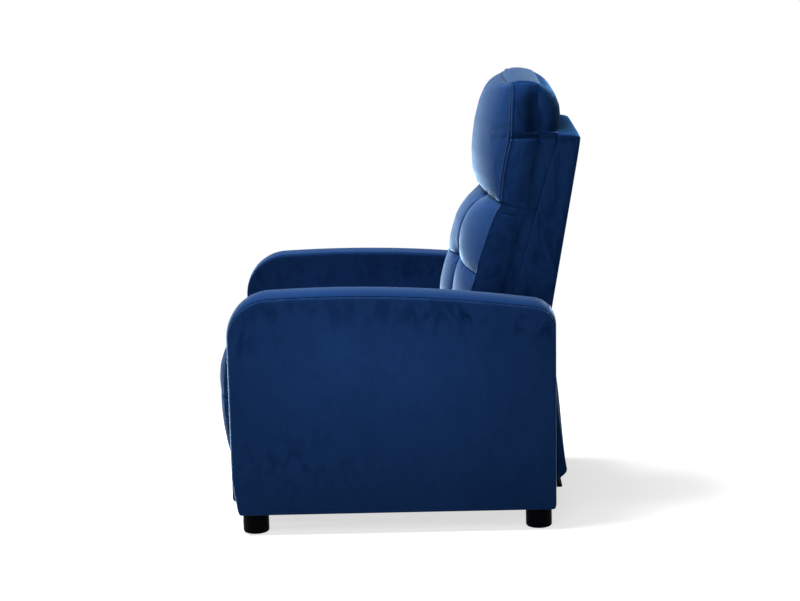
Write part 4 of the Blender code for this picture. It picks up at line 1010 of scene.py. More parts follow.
def lumbar_face(u, v):
    """Three full columns between the sewn lines, drawn in along the rows and puckered where the lines cross."""
    x, z = u * LUMBAR_HALF, lumbar_height(v)
    column, across = lumbar_column(z), np.abs(x) / LUMBAR_COLUMN_X
    middle = column - (column - lumbar_middle(z)) * swell(np.minimum(across, 1.0), 2.2, 0.9)
    t = np.clip((np.abs(x) - LUMBAR_COLUMN_X) / (LUMBAR_HALF - LUMBAR_COLUMN_X), 0.0, 1.0)
    outer = column + (lumbar_side(z) - column) * t - 0.0125 * (4 * t * (1 - t)) ** 0.95
    depth = np.where(across < 1.0, middle, outer)
    depth = depth + 0.0035 * groove(np.abs(x) - LUMBAR_COLUMN_X, 0.0030)
    fade = edge_round(u, 0.08)
    for row, low, high in zip(lumbar_rows(x), (0.9, 0.45, 0.35), (1.0, 1.0, 0.6)):
        amount = fade * np.where(across < 1.0, low + (high - low) * np.minimum(across, 1.0) ** 3, high)
        depth = depth + amount * (0.0030 * groove(z - row, 0.0035) + 0.0045 * groove(z - row, 0.020))
    for row in (LUMBAR_LOW_ROW_Z, LUMBAR_ROW_Z, LUMBAR_HIGH_ROW_Z):
        for side in (-1, 1):
            dx, dz = x - side * LUMBAR_COLUMN_X, z - row
            reach = np.hypot(dx, dz)
            turn = np.arctan2(dz, dx * side)
            fold = np.cos(5 * turn + 0.9) * np.clip(reach / 0.012, 0.0, 1.0) * np.exp(-reach / 0.022)
            depth = depth + 0.0065 * groove(reach, 0.013) + 0.0026 * fold
    return depth


def lumbar_sewn(u, v):
    """Painted shade along the sewn columns and the two rows that show."""
    x, z = u * LUMBAR_HALF, lumbar_height(v)
    lines = 0.8 * groove(np.abs(x) - LUMBAR_COLUMN_X, 0.0022)
    for row in lumbar_rows(x)[:2]:
        lines = np.maximum(lines, 0.8 * groove(z - row, 0.0022) * edge_round(u, 0.04))
    return lines


def side_boxing(z, y, front):
    """Outward shift of the back's side panel: full between its seams, set in along the rear strip."""
    seam = strip_seam(z)
    full = np.clip((y - front) / np.maximum(seam - front, 1e-6), 0.0, 1.0)
    set_in = np.clip((y - seam) / 0.004, 0.0, 1.0)
    return (0.0030 * np.sin(math.pi * full) - 0.0036 * set_in * (3 - 2 * set_in) * set_in
            - 0.0012 * groove(y - seam, 0.0022))


def lumbar_bulge(t, u, v):
    """Side boxing, with two short creases below the pillow."""
    z = lumbar_height(v)
    front = lumbar_side(z)
    y = front + (seam_behind(z) - front) * t
    crease = 0.0020 * groove(z - SIDE_CREASE_Z, 0.0026) * groove(y - 0.252, 0.028)
    crease = crease + 0.0018 * groove(z - SIDE_LOW_CREASE_Z, 0.0032) * groove(y - 0.250, 0.024)
    return np.where(np.abs(u) > 0.97, side_boxing(z, y, front) - crease, 0.0)


# lit and shaded copies of one velvet: the first, with full sheen, for the fronts; the second, with little sheen,
# more stroke marks and a bluer bloom, is painted shade for the sides, the heel and the sewn lines
back_velvet = velvet("velvet_back", (0.9, 0.9, 0.55), (0.1, 0.7, 0.9), 0.90, 1.0, fuzz=0.31)
shaded_side_velvet = velvet("velvet_sides_shaded", (0.9, 0.9, 0.55), (0.6, 0.1, 0.3), 0.90, 0.22, 0.45, (0.2, 0.5, 1.0))
lumbar_u = LUMBAR_COLUMN_X + np.arange(-4, 5) * LUMBAR_GRID_STEP
lumbar_u = np.concatenate([-lumbar_u, lumbar_u]) / LUMBAR_HALF
# grid lines close about each row and crease, and further below the middle row, which dips furthest
fine_lines = ((LUMBAR_LOW_ROW_Z, 3), (LUMBAR_ROW_Z, 15), (SIDE_CREASE_Z, 3), (SIDE_LOW_CREASE_Z, 3))
lumbar_v = [line + LUMBAR_GRID_STEP * step for line, below in fine_lines for step in range(-below, 4)]
lumbar_v = (np.array(lumbar_v) - lumbar_height(0.0)) / (lumbar_high.z - lumbar_height(0.0))
BOXING_SHARES = (0.015, 0.035, 0.055, 0.075, 0.095, 0.12, 0.15, *np.linspace(0.19, 0.95, 26), 0.97, 0.985)
lumbar = Boxed(grid_lines(92, 0.6, lumbar_u), grid_lines(72, 0.5, lumbar_v),
               (LUMBAR_HALF, (lumbar_high.z - lumbar_low.z) / 2), lumbar_place,
               lumbar_face, lambda u, v: seam_behind(lumbar_height(v)) - BACK_SEAM_CLEAR, lumbar_bulge,
               BOXING_SHARES, sewn=lumbar_sewn)
lumbar_cushion = lumbar.piece("lumbar_cover", back_velvet, shaded_side_velvet, sunk=0.4)
lumbar_pins = [int(k) for k in np.flatnonzero(lumbar.seam[:lumbar.u.size] > 0.45)]
lumbar_pins += range(lumbar.u.size, len(lumbar.points))
settle(lumbar_cushion, lumbar_pins, slack=0.003, pressure=1.0, cap=0.002)
dress(lumbar_cushion, "back", "velvet", "lumbar_cushion")


# Head pillow: a fibre-filled cushion with a full front, a sewn boxing over its top and sides and a round rear.
# It overhangs the lumbar cushion, and its heel sits on the top of the back.
PILLOW_LOW_Z, PILLOW_TOP_Z, PILLOW_HALF, PILLOW_TAPER = 0.7208, 0.9640, 0.240, 0.036
PILLOW_SPLIT_Z, PILLOW_SIDE_SEAM_Z, PILLOW_BOW_Z, PILLOW_TOP_BOW = 0.8595, 0.8490, 0.92, 0.013
PILLOW_REAR_SEAM_Y, PILLOW_REAR_SWELL, PILLOW_SAG = 0.3165, 0.0535, 0.009
PILLOW_LIT_Z, PILLOW_LIT_ARCH = 0.955, 0.011
# small puckers in the front beside the side seams: distance from the middle, height and depth
PILLOW_PUCKERS = ((0.216, 0.868, 0.0022), (0.205, 0.845, 0.0024), (0.214, 0.895, 0.0014), (0.19, 0.858, 0.0012))
pillow_front = traced(((0.7208, 0.205), (0.727, 0.190), (0.736, 0.182), (0.764, 0.1765), (0.805, 0.1755),
                       (0.84, 0.179), (0.872, 0.184), (0.913, 0.195), (0.939, 0.207), (0.956, 0.220),
                       (0.964, 0.228)), 0.005)
pillow_seam = traced(((0.7208, 0.229), (0.76, 0.234), (0.806, 0.243), (0.842, 0.2525), (0.86, 0.2545),
                      (0.92, 0.2585), (0.964, 0.262)), 0.004)
pillow_heel = traced(((0.857, 0.94), (0.868, 0.99), (0.886, 1.0), (0.909, 0.97), (0.932, 0.81), (0.944, 0.66),
                      (0.954, 0.45), (0.964, 0.08)), 0.003)


def pillow_height(v):
    """Height of a row of the pillow's grid."""
    return (PILLOW_LOW_Z + PILLOW_TOP_Z) / 2 + v * (PILLOW_TOP_Z - PILLOW_LOW_Z) / 2


def pillow_place(u, v, w):
    """The sides draw in above the side seam, towards the top corners, and the foot sags and follows the crease."""
    z = pillow_height(v)
    drawn = np.clip((z - PILLOW_SIDE_SEAM_Z) / (PILLOW_TOP_Z - PILLOW_SIDE_SEAM_Z), 0.0, 1.0) ** 1.6
    aside = np.sin(math.pi * np.clip((np.abs(u) - 0.42) / 0.64, 0.0, 1.0))
    foot = np.clip((-0.55 - v) / 0.45, 0.0, 1.0) ** 1.4
    sag = PILLOW_SAG * aside * foot * np.clip((0.240 - w) / 0.015, 0.0, 1.0)
    return np.stack([u * (PILLOW_HALF - PILLOW_TAPER * drawn), w, z - crease_drop(w, z) - sag], axis=-1)


def pillow_face(u, v):
    """Full front panel, whose top seam bows forward in the middle."""
    z = pillow_height(v)
    bowed = swell(u, 2.0, 1.0) * np.clip((z - PILLOW_BOW_Z) / (PILLOW_TOP_Z - PILLOW_BOW_Z), 0.0, 1.0)
    seam = pillow_seam(z) - PILLOW_TOP_BOW * bowed
    ends = np.where(v < 0, edge_round(v, 0.10), edge_round(v, 0.11))
    depth = seam - (seam - pillow_front(z)) * swell(u, 2.1, 0.74) * ends
    near = np.abs(u) * PILLOW_HALF
    for x0, z0, size in PILLOW_PUCKERS:
        depth = depth + size * np.exp(-((near - x0) / 0.016) ** 2 - ((z - z0) / 0.0055) ** 2)
    return depth


def pillow_under(u, v):
    """Rear: against the back below the split, and the rounded heel above it."""
    z = pillow_height(v)
    heel = PILLOW_REAR_SEAM_Y + PILLOW_REAR_SWELL * swell(u, 6.0, 0.5) * pillow_heel(z)
    return np.where(z < PILLOW_SPLIT_Z, seam_behind(z) - BACK_SEAM_CLEAR, heel)


def pillow_bulge(t, u, v):
    """Boxing: hollow towards the rear at the sides, full over the top, with a ridge behind the front seam."""
    z = pillow_height(v)
    front = pillow_seam(z)
    rear = np.where(z < PILLOW_SPLIT_Z, seam_behind(z), PILLOW_REAR_SEAM_Y)
    y = front + (rear - front) * t
    hollow = np.clip((t - 0.45) / 0.55, 0.0, 1.0)
    hollow = hollow * hollow * (3 - 2 * hollow) * np.clip((0.960 - z) / 0.025, 0.0, 1.0)
    upper = 0.0035 * np.sin(math.pi * np.minimum(1.0, 1.25 * t)) - 0.0085 * hollow
    side = np.where(z < PILLOW_SPLIT_Z, side_boxing(z, y, front), upper)
    side = side - 0.0030 * groove(z - PILLOW_SIDE_SEAM_Z, 0.0026)
    top = 0.0075 * np.sin(math.pi * t ** 0.8) ** 0.75
    ridge = 0.0016 * groove(y - front - 0.0042, 0.0022) - 0.0010 * groove(y - front - 0.0088, 0.0020)
    return np.where(np.abs(u) > 0.985, side + ridge, np.where(v > 0, top + ridge, 0.0))


pillow_v = [*(PILLOW_SIDE_SEAM_Z + np.arange(-3, 4) * 0.0013), PILLOW_SPLIT_Z - 0.0007, PILLOW_SPLIT_Z + 0.0007]
pillow_v = (np.array(pillow_v) - pillow_height(0.0)) / (PILLOW_TOP_Z - pillow_height(0.0))


def pillow_lit(p):
    """Where the boxing keeps the bright copy as painted light: the top, down to an arch over each side panel."""
    share = (p.y - pillow_seam(PILLOW_TOP_Z)) / (PILLOW_REAR_SEAM_Y - pillow_seam(PILLOW_TOP_Z))
    return p.z > PILLOW_LIT_Z + PILLOW_LIT_ARCH * math.sin(math.pi * min(1.0, max(0.0, share)))


def pillow_lay(x, y, z):
    """Painted shade on the upper boxing, deepest by the rear seam; below the side seam, painted light then shade
    by the strip.
    """
    near_rear = np.clip((y - 0.262) / 0.034, 0.0, 1.0)
    boxing = np.clip((y - pillow_seam(z)) / 0.004, 0.0, 1.0) * (y < PILLOW_REAR_SEAM_Y + 0.0008)
    boxing = boxing * (z > PILLOW_SIDE_SEAM_Z) * np.clip((0.962 - z) / 0.03, 0.0, 1.0)
    high = -(0.28 + 0.32 * near_rear) * boxing
    behind = y - back_seam(z)
    low = 0.22 * (groove(behind + 0.075, 0.024) - groove(behind + 0.040, 0.018)) * (z < PILLOW_SIDE_SEAM_Z)
    return np.where(np.abs(x) > 0.16, high + low, 0.0)


# painted light: the front panel and the top boxing take this brighter copy; the other boxing and the heel the
# shaded one
pillow_velvet = velvet("velvet_pillow", (0.9, 0.9, 0.6), (0.5, 0.3, 0.2), 0.75, 0.66, fuzz=0.30)
pillow = Boxed(grid_lines(84, 0.72), grid_lines(76, 0.66, pillow_v),
               (PILLOW_HALF, (PILLOW_TOP_Z - PILLOW_LOW_Z) / 2), pillow_place, pillow_face, pillow_under,
               pillow_bulge, BOXING_SHARES, corner=0.002, low_corner=0.0)
head_pillow = pillow.piece("head_pillow_cover", pillow_velvet, shaded_side_velvet, pillow_lit,
                           lay=pillow_lay(*pillow.points.T))
pillow_soft = {pillow.front(i, j) for i in range(1, len(pillow.us) - 1) for j in range(1, len(pillow.vs) - 1)}
pillow_pins = [k for k in range(len(pillow.points)) if k not in pillow_soft]
settle(head_pillow, pillow_pins, slack=0.002, pressure=1.0, cap=0.002)
dress(head_pillow, "back", "velvet", "head_pillow")


# Back cover: velvet over thin foam, drawn over the top, the sides and the rear of the back frame.
# It is one shell, open in front behind the cushions and open below, where it is stapled inside the frame.
COVER_LOW_Z, COVER_TOP_Z, COVER_HALF, COVER_WALL = 0.461, 0.8525, 0.240, 0.005
COVER_REAR_Y, COVER_REAR_Z, COVER_REAR_LEAN = 0.3425, 0.499, 0.184
COVER_EDGE, COVER_SWELL = 0.007, 0.005


def cover_height(v):
    """Height of a row of the cover's grid."""
    return (COVER_LOW_Z + COVER_TOP_Z) / 2 + v * (COVER_TOP_Z - COVER_LOW_Z) / 2


def cover_rear(u, v):
    """Leaning rear panel, a little full, with tight edges at the sides and the top."""
    z = cover_height(v)
    edge = edge_round(u, COVER_EDGE / COVER_HALF) * np.where(v > 0, edge_round(v, 0.045), 1.0)
    return COVER_REAR_Y + COVER_REAR_LEAN * (z - COVER_REAR_Z) - COVER_EDGE * (1 - edge) + (
        COVER_SWELL * swell(u, 8.0, 0.7) * np.where(v > 0, swell(v, 10.0, 0.7), 1.0))


def cover_bulge(t, u, v):
    """Sides that turn in at the front, and a top that rises forward."""
    turned_in = np.clip((t - 0.86) / 0.14, 0.0, 1.0)
    top = 0.0015 * np.minimum(1.0, 6 * t) + 0.0075 * t
    return np.where(np.abs(u) > 0.985, -0.0038 * turned_in ** 2, np.where(v > 0, top, 0.0))


cover_velvet = velvet("velvet_cover", (0.9, 1.1, 0.40), (0.9, 0.4, 0.6), 0.85, 0.5, 0.55, (0.16, 0.46, 1.0))
cover = Boxed(grid_lines(64, 0.8), grid_lines(60, 0.5), (COVER_HALF, (COVER_TOP_Z - COVER_LOW_Z) / 2),
              upright(COVER_LOW_Z, COVER_TOP_Z, COVER_HALF), cover_rear,
              lambda u, v: back_seam(cover_height(v)) + BACK_SEAM_CLEAR, cover_bulge,
              tuple(np.linspace(0, 1, 14)[1:-1]), corner=0.004)
cover.sheet(cover.front)
cover.boxing(lambda place: place[1] == 0)
used = sorted({k for face in cover.faces for k in face})
renumber = {k: n for n, k in enumerate(used)}
open_cover = bpy.data.meshes.new("open_cover")
open_cover.from_pydata([tuple(cover.points[k]) for k in used], [],
                       [tuple(renumber[k] for k in face) for face in cover.faces])
# the open shell points outwards before its wall gets a thickness
wall = bmesh.new()
wall.from_mesh(open_cover)
bmesh.ops.recalc_face_normals(wall, faces=wall.faces)
if max(wall.faces, key=lambda f: f.calc_center_median().y).normal.y < 0:
    bmesh.ops.reverse_faces(wall, faces=wall.faces)
wall.normal_update()
outer = [(v.co.copy(), v.normal.copy()) for v in wall.verts]
wall_faces = [tuple(v.index for v in f.verts) for f in wall.faces]
rim = [tuple(v.index for v in e.verts) for e in wall.edges if e.is_boundary]
wall.free()
bpy.data.meshes.remove(open_cover)
count = len(outer)
cover_points = [p for p, n in outer] + [p - n * COVER_WALL for p, n in outer]
cover_faces = wall_faces + [tuple(k + count for k in reversed(f)) for f in wall_faces]
cover_faces += [(a, b, b + count, a + count) for a, b in rim]
back_cover = new_piece("back_cover_shell", cover_points, cover_faces, cover_velvet)
dress(back_cover, "back", "velvet", "back_cover")


# Rear flap: a hemmed velvet sheet that hangs from the lower edge of the back cover and turns forward at its
# sides. Its lower edge turns in and fastens to a black tape on the flap rail, so it stays with the seat as
# the back leans.
FLAP_HALF, FLAP_CLOTH, FLAP_CORNER, FLAP_RETURN_Y = 0.232, 0.0022, 0.004, 0.3450
FLAP_TOP_Y, FLAP_TOP_Z, FLAP_LOW_Y, FLAP_LOW_Z = 0.3255, 0.455, 0.3655, 0.122
FLAP_HEM_Z, FLAP_HEM_WIDTH, FLAP_BELLY = 0.126, 0.0016, 0.007
flap_path = along([(FLAP_TOP_Y, 0.463), (0.331, 0.42), (0.3365, 0.37), (0.3415, 0.32), (0.347, 0.27),
                   (0.3535, 0.21), (0.360, 0.16), (FLAP_LOW_Y, FLAP_LOW_Z), (0.3675, 0.110), (0.3660, 0.1035),
                   (0.3610, 0.0985), (0.3550, 0.0935), (0.3500, 0.0890)],
                  np.concatenate([np.linspace(0.0, 0.8, 49), np.linspace(0.8, 1.0, 41)[1:]]))


def wrapped_row(half, y, z, belly=0.0, across=64, steps=6):
    """One row of a sheet that lies across the chair and turns forward at both sides."""
    back = max(0.0006, y - FLAP_RETURN_Y)
    turn = min(FLAP_CORNER, 0.8 * back)
    side = bend((half - turn, y - turn), turn, 90, 0, 5)
    side += [(half, y - turn - (back - turn) * k / steps) for k in range(1, steps + 1)]
    row = [(-x, depth) for x, depth in reversed(side)]
    for s in np.linspace(-1, 1, across + 1)[1:-1]:
        fold = 0.0022 * math.sin(9.5 * s + 1.3 * math.sin(3.1 * s)) + 0.0016 * math.sin(17 * s + 2.0)
        row.append((s * (half - turn), y + belly * (FLAP_BELLY * (1 - s * s) + fold * (1 - s ** 8))))
    return [(x, depth, z) for x, depth in row + side]


def thick_sheet(rows, thickness):
    """Closed sheet of cloth about rows of points: its points, its faces and the area of one side."""
    columns, middle = len(rows[0]), [p for row in rows for p in row]
    faces = [(r * columns + k, r * columns + k + 1, (r + 1) * columns + k + 1, (r + 1) * columns + k)
             for r in range(len(rows) - 1) for k in range(columns - 1)]
    mesh = bpy.data.meshes.new("sheet")
    mesh.from_pydata(middle, [], faces)
    mesh.update()
    area = sum(face.area for face in mesh.polygons)
    shifts = [v.normal * (thickness / 2) for v in mesh.vertices]
    bpy.data.meshes.remove(mesh)
    count, last = len(middle), (len(rows) - 1) * columns
    points = [Vector(p) + n for p, n in zip(middle, shifts)]
    points += [Vector(p) - n for p, n in zip(middle, shifts)]
    rim = [(k, k + 1) for k in range(columns - 1)] + [(last + k, last + k + 1) for k in range(columns - 1)]
    rim += [(k + c, k + columns + c) for k in range(0, last, columns) for c in (0, columns - 1)]
    faces += [tuple(k + count for k in reversed(face)) for face in faces]
    faces += [(a, b, b + count, a + count) for a, b in rim]
    return points, faces, area


flap_rows, flap_seam = [], []
for y, z in flap_path:
    hang = math.sin(math.pi * min(1.0, max(0.0, (FLAP_TOP_Z + 0.008 - z) / (FLAP_TOP_Z - 0.100))))
    flap_rows.append(wrapped_row(FLAP_HALF, y, z, hang))
    # painted shade along the hem's turned edge
    flap_seam += [0.7 * math.exp(-((z - FLAP_HEM_Z) / FLAP_HEM_WIDTH) ** 2)] * len(flap_rows[-1])
flap_points, flap_faces, flap_area = thick_sheet(flap_rows, FLAP_CLOTH)
flap_velvet = velvet("velvet_flap", (0.7, 1.0, 0.45), (0.2, 0.2, 0.8), 1.0, 0.3, 0.4)
rear_flap = new_piece("rear_flap_cloth", flap_points, flap_faces, flap_velvet, seam=flap_seam + flap_seam)
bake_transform(rear_flap)
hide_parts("rear_flap")


def hook_tape(name):
    """Black hook-and-loop tape: a fine woven ground with rows of bristle."""
    mat, node, wire = new_finish(name)
    place = node("ShaderNodeTexCoord").outputs["Object"]
    bristle = node("ShaderNodeTexVoronoi", {"Vector": place, "Scale": 700.0}).outputs["Distance"]
    weave = grain_noise(node, place, 420.0, 2.0)
    wire(Base_Color=levels(node, bristle, ((0.15, (0.0030, 0.0032, 0.0042)), (0.60, (0.0008, 0.0008, 0.0012)))),
         Roughness=between(node, weave, 0.70, 0.95), Normal=raised(node, bristle, 0.0008, 0.6),
         Specular_IOR_Level=0.02)
    return mat


TAPE_HALF, TAPE_THICK = 0.2285, 0.0024
tape_path = along([(0.3447, 0.143), (0.3447, 0.104), (0.3464, 0.092), (0.3490, 0.083), (0.3532, 0.0745),
                   (0.3570, 0.0700)], np.linspace(0, 1, 29))
tape_rows = [wrapped_row(TAPE_HALF, y, z) for y, z in tape_path]
tape_points, tape_faces, tape_area = thick_sheet(tape_rows, TAPE_THICK)
tape = new_piece("fastening_tape", tape_points, tape_faces, hook_tape("black_tape"))
dress(tape, "seat", "fastening_tape", "flap_strip")


# Closing cloth: a strip of black lining between the seat's rear rail and the back's bottom rail.
# It is stapled along both, hangs slack between them and keeps hands and crumbs out of the links.
LINING_HALF, LINING_THICK = 0.2225, 0.0016
lining_shares = np.linspace(0, 1, 33)
lining_path = along([(0.0925, 0.3612), (0.1000, 0.3611), (0.1065, 0.3600), (0.1200, 0.3520), (0.1400, 0.3425),
                     (0.1600, 0.3345), (0.1800, 0.3270), (0.1950, 0.3205), (0.2000, 0.3180)], lining_shares)


def lining_row(y, z, slack, across=56):
    """One row of the strip, with soft folds that run from front to back."""
    return [(s * LINING_HALF, y, z - slack * (0.0030 + 0.0018 * math.sin(11 * s + 1.7 * math.sin(4 * s))))
            for s in np.linspace(-1, 1, across + 1)]


def lining_cloth(name):
    """Thin black lining with a plain weave."""
    mat, node, wire = new_finish(name)
    place = node("ShaderNodeTexCoord").outputs["Object"]
    yarns = {"Vector": place, "Scale": 240.0}
    warp, weft = (node("ShaderNodeTexWave", yarns, bands_direction=way).outputs["Fac"] for way in ("X", "Y"))
    weave = node("ShaderNodeMath", {0: warp, 1: weft}, operation="MULTIPLY").outputs[0]
    wire(Base_Color=levels(node, weave, ((0.1, (0.0020, 0.0026, 0.0050)), (0.8, (0.0075, 0.0095, 0.0170)))),
         Roughness=between(node, weave, 0.75, 0.95), Normal=raised(node, weave, 0.0004, 0.5),
         Specular_IOR_Level=0.05)
    return mat


lining_rows = [lining_row(y, z, math.sin(math.pi * share)) for share, (y, z) in zip(lining_shares, lining_path)]
lining_points, lining_faces, lining_area = thick_sheet(lining_rows, LINING_THICK)
lining = new_piece("closing_cloth", lining_points, lining_faces, lining_cloth("black_lining"))
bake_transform(lining)


# Seam stitching: two rows of thread beside the pillow's front seam and one beside each lumbar side seam.
# Each stitch is a short length of waxed thread lying in the pile. Beside the lumbar seams the thread is near
# black, a painted shade line along the seam.
STITCH_PITCH, STITCH_LENGTH, STITCH_RADIUS, STITCH_LIFT = 0.0042, 0.0032, 0.00035, 0.0002
stitch_tree, stitch_in, stitch_node, stitch_close = node_group("stitch_rows", ("Pitch", "Length", "Radius"))
stitch_spots = stitch_node("GeometryNodeCurveToPoints", {"Curve": stitch_in["Geometry"],
                                                         "Length": stitch_in["Pitch"]}, mode="LENGTH")
stitch_turn = stitch_node("FunctionNodeAlignRotationToVector", {"Vector": stitch_spots.outputs["Tangent"]},
                          axis="Z")
stitch_ball = stitch_node("GeometryNodeMeshUVSphere", {"Segments": 6, "Rings": 5, "Radius": 1.0})
stitch_half = stitch_node("ShaderNodeMath", {0: stitch_in["Length"], 1: 0.5}, operation="MULTIPLY")
stitch_size = stitch_node("ShaderNodeCombineXYZ", {"X": stitch_in["Radius"], "Y": stitch_in["Radius"],
                                                   "Z": stitch_half.outputs[0]})
stitch_set = stitch_node("GeometryNodeInstanceOnPoints", {"Points": stitch_spots.outputs["Points"],
                                                          "Instance": stitch_ball.outputs["Mesh"],
                                                          "Rotation": stitch_turn.outputs["Rotation"],
                                                          "Scale": stitch_size.outputs["Vector"]})
stitch_close(stitch_set.outputs["Instances"])


def thread(name, dark, light):
    """Twisted thread."""
    mat, node, wire = new_finish(name)
    place = node("ShaderNodeTexCoord").outputs["Object"]
    twist = node("ShaderNodeTexWave", {"Vector": place, "Scale": 900.0, "Distortion": 2.0}).outputs["Fac"]
    wire(Base_Color=levels(node, twist, ((0.2, dark), (0.8, light))),
         Roughness=between(node, twist, 0.45, 0.65), Normal=raised(node, twist, 0.0002, 0.5))
    return mat


# the pillow's rows run up one side, over the top and down the other, in front of the seam and on the boxing
pillow_last, pillow_end = len(pillow.us) - 1, len(pillow.vs) - 1
pillow_loop = {place: k for k, place in enumerate(pillow.loop)}
climb, over = range(4, pillow_end - 1), range(2, pillow_last - 1)
before_seam = [(1, j) for j in climb] + [(i, pillow_end - 1) for i in over]
before_seam += [(pillow_last - 1, j) for j in reversed(climb)]
after_seam = [(0, j) for j in climb] + [(i, pillow_end) for i in over]
after_seam += [(pillow_last, j) for j in reversed(climb)]
pillow_rows = [[pillow.front(*place) for place in before_seam],
               [pillow.ring(1, pillow_loop[place]) for place in after_seam]]
lumbar_last, lumbar_end = len(lumbar.us) - 1, len(lumbar.vs) - 1
lumbar_edges = [[lumbar.front(i, j) for j in range(2, lumbar_end - 1)] for i in (2, lumbar_last - 2)]
# the pillow's thread is paler than the pile: real stitching, and partly a painted highlight along the seam's ridge
pale_thread = thread("pale_thread", (0.020, 0.050, 0.130), (0.045, 0.095, 0.215))
# painted shade: a near-black thread that draws the dark line along the lumbar side seams
seam_shade_thread = thread("seam_shade_thread", (0.0015, 0.0040, 0.014), (0.0030, 0.0080, 0.026))
for name, cushion, rows_sewn, yarn in (("pillow_stitching", head_pillow, pillow_rows, pale_thread),
                                       ("lumbar_stitching", lumbar_cushion, lumbar_edges, seam_shade_thread)):
    spots = cushion.data.vertices
    seam_lines = [[spots[k].co + spots[k].normal * STITCH_LIFT for k in row] for row in rows_sewn]
    sewn = grown(name, line_curve("seam_line", seam_lines), stitch_tree, yarn, Pitch=STITCH_PITCH,
                 Length=STITCH_LENGTH, Radius=STITCH_RADIUS)
    dress(sewn, "back", "velvet")


# Studio: a pale floor that fades into a white background, a large soft light from the front of the chair
# and above, and a weak fill from the camera's side. The camera stands where the photographer stood.
FLOOR_PAINT, FLOOR_BOUNCE, FLOOR_GLOW, FLOOR_HALF = 0.38, 0.33, 0.67, 6.0
FLOOR_FADE_FROM, FLOOR_FADE_TO, WORLD_FILL = 0.55, 1.5, 0.09


def seen_rays(node):
    """1 for a ray from the camera or by way of gloss or glass, and 0 for light that bounces about."""
    ray = node("ShaderNodeLightPath").outputs
    glossy = node("ShaderNodeMath", {0: ray["Is Camera Ray"], 1: ray["Is Glossy Ray"]}, operation="MAXIMUM")
    clear = {0: glossy.outputs[0], 1: ray["Is Transmission Ray"]}
    return node("ShaderNodeMath", clear, operation="MAXIMUM").outputs[0]


def grey(value):
    """Neutral colour."""
    return (value, value, value, 1.0)


def studio_floor():
    """Pale floor that shows the chair's shadow and fades to white further away."""
    mat = bpy.data.materials.new("studio_floor")
    mat.use_nodes = True
    mat.node_tree.nodes.clear()
    node = node_adder(mat.node_tree)
    paint = node("ShaderNodeBsdfDiffuse", {"Color": grey(FLOOR_PAINT)}).outputs[0]
    bounce = node("ShaderNodeBsdfDiffuse", {"Color": grey(FLOOR_BOUNCE)}).outputs[0]
    glow = node("ShaderNodeEmission", {"Strength": FLOOR_GLOW}).outputs[0]
    white = node("ShaderNodeEmission").outputs[0]
    place = node("ShaderNodeTexCoord").outputs["Object"]
    reach = node("ShaderNodeVectorMath", {0: place}, operation="LENGTH").outputs["Value"]
    fade = node("ShaderNodeMapRange", {"Value": reach, "From Min": FLOOR_FADE_FROM, "From Max": FLOOR_FADE_TO},
                interpolation_type="SMOOTHSTEP").outputs["Result"]
    lit = node("ShaderNodeAddShader", {0: paint, 1: glow}).outputs[0]
    shown = node("ShaderNodeMixShader", {0: fade, 1: lit, 2: white}).outputs[0]
    both = node("ShaderNodeMixShader", {0: seen_rays(node), 1: bounce, 2: shown}).outputs[0]
    node("ShaderNodeOutputMaterial", {"Surface": both})
    return mat


def studio_world(fill):
    """White where it is seen, and a weak even light elsewhere."""
    world = bpy.data.worlds.new("studio")
    bpy.context.scene.world = world
    world.use_nodes = True
    world.node_tree.nodes.clear()
    node = node_adder(world.node_tree)
    soft = node("ShaderNodeBackground", {"Color": grey(1.0), "Strength": fill}).outputs[0]
    white = node("ShaderNodeBackground", {"Color": grey(1.0)}).outputs[0]
    both = node("ShaderNodeMixShader", {0: seen_rays(node), 1: soft, 2: white}).outputs[0]
    node("ShaderNodeOutputWorld", {"Surface": both})


def softbox(name, place, target, width, height, power):
    """Rectangular soft light that points at its target."""
    lamp = bpy.data.lights.new(name, "AREA")
    lamp.shape = "RECTANGLE"
    lamp.size, lamp.size_y, lamp.energy = width, height, power
    obj = put(name, lamp)
    obj.location = place
    obj.rotation_mode = "QUATERNION"
    obj.rotation_quaternion = (Vector(target) - Vector(place)).to_track_quat("-Z", "Y")


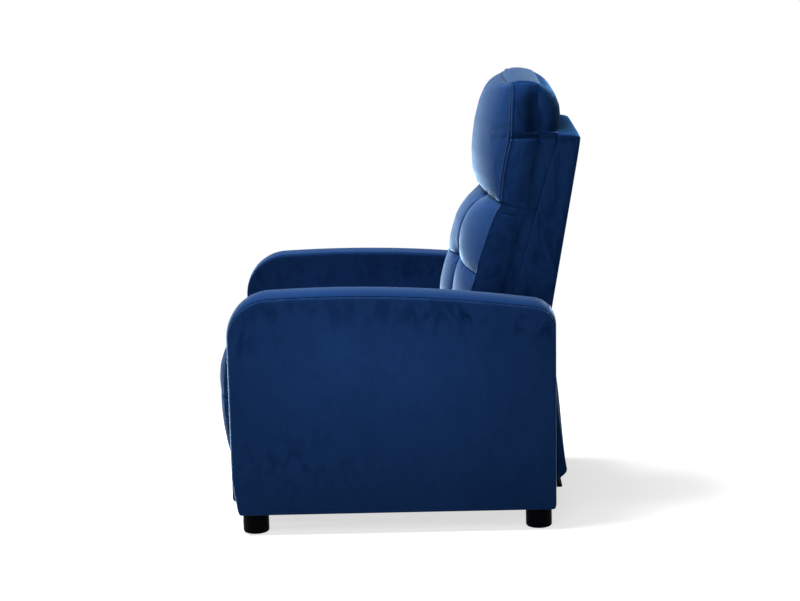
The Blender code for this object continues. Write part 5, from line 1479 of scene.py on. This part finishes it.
bpy.context.scene.view_settings.view_transform = "Standard"
floor_mesh = bpy.data.meshes.new("floor")
floor_mesh.from_pydata([(FLOOR_HALF * x, FLOOR_HALF * y, 0) for x, y in ((-1, -1), (1, -1), (1, 1), (-1, 1))], [],
                       [(0, 1, 2, 3)])
floor_mesh.materials.append(studio_floor())
floor = put("floor", floor_mesh)
floor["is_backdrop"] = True
studio_world(WORLD_FILL)
softbox("front_light", (0.1, -1.3, 3.8), (0.0, 0.0, 0.60), width=2.2, height=1.4, power=360.0)
softbox("top_light", (0.0, -0.9, 3.6), (0.0, 0.0, 0.4), width=2.6, height=2.0, power=110.0)
softbox("side_fill", (2.8, 0.0, 2.0), (0.0, -0.1, 0.45), width=1.6, height=1.6, power=45.0)

CAMERA_PLACE = (5.1981, 0.1055, 1.3665)
CAMERA_YAW, CAMERA_PITCH, CAMERA_ROLL = (math.radians(a) for a in (-1.124, 9.913, -1.498))
CAMERA_FOCUS_PX, PHOTO_WIDTH_PX, SENSOR_WIDTH = 2303.1, 800, 36.0
ahead = Vector((-math.cos(CAMERA_YAW), math.sin(CAMERA_YAW), 0.0))
right = Vector((math.sin(CAMERA_YAW), math.cos(CAMERA_YAW), 0.0))
up = Vector((0.0, 0.0, 1.0))
ahead, up = (ahead * math.cos(CAMERA_PITCH) - up * math.sin(CAMERA_PITCH),
             up * math.cos(CAMERA_PITCH) + ahead * math.sin(CAMERA_PITCH))
right, up = (right * math.cos(CAMERA_ROLL) + up * math.sin(CAMERA_ROLL),
             up * math.cos(CAMERA_ROLL) - right * math.sin(CAMERA_ROLL))
lens = bpy.data.cameras.new("camera")
lens.sensor_fit = "HORIZONTAL"
lens.sensor_width = SENSOR_WIDTH
lens.lens = CAMERA_FOCUS_PX / PHOTO_WIDTH_PX * SENSOR_WIDTH
camera = put("camera", lens)
camera.matrix_world = Matrix.Translation(CAMERA_PLACE) @ Matrix((right, up, -ahead)).transposed().to_4x4()
bpy.context.scene.camera = camera

low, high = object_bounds()
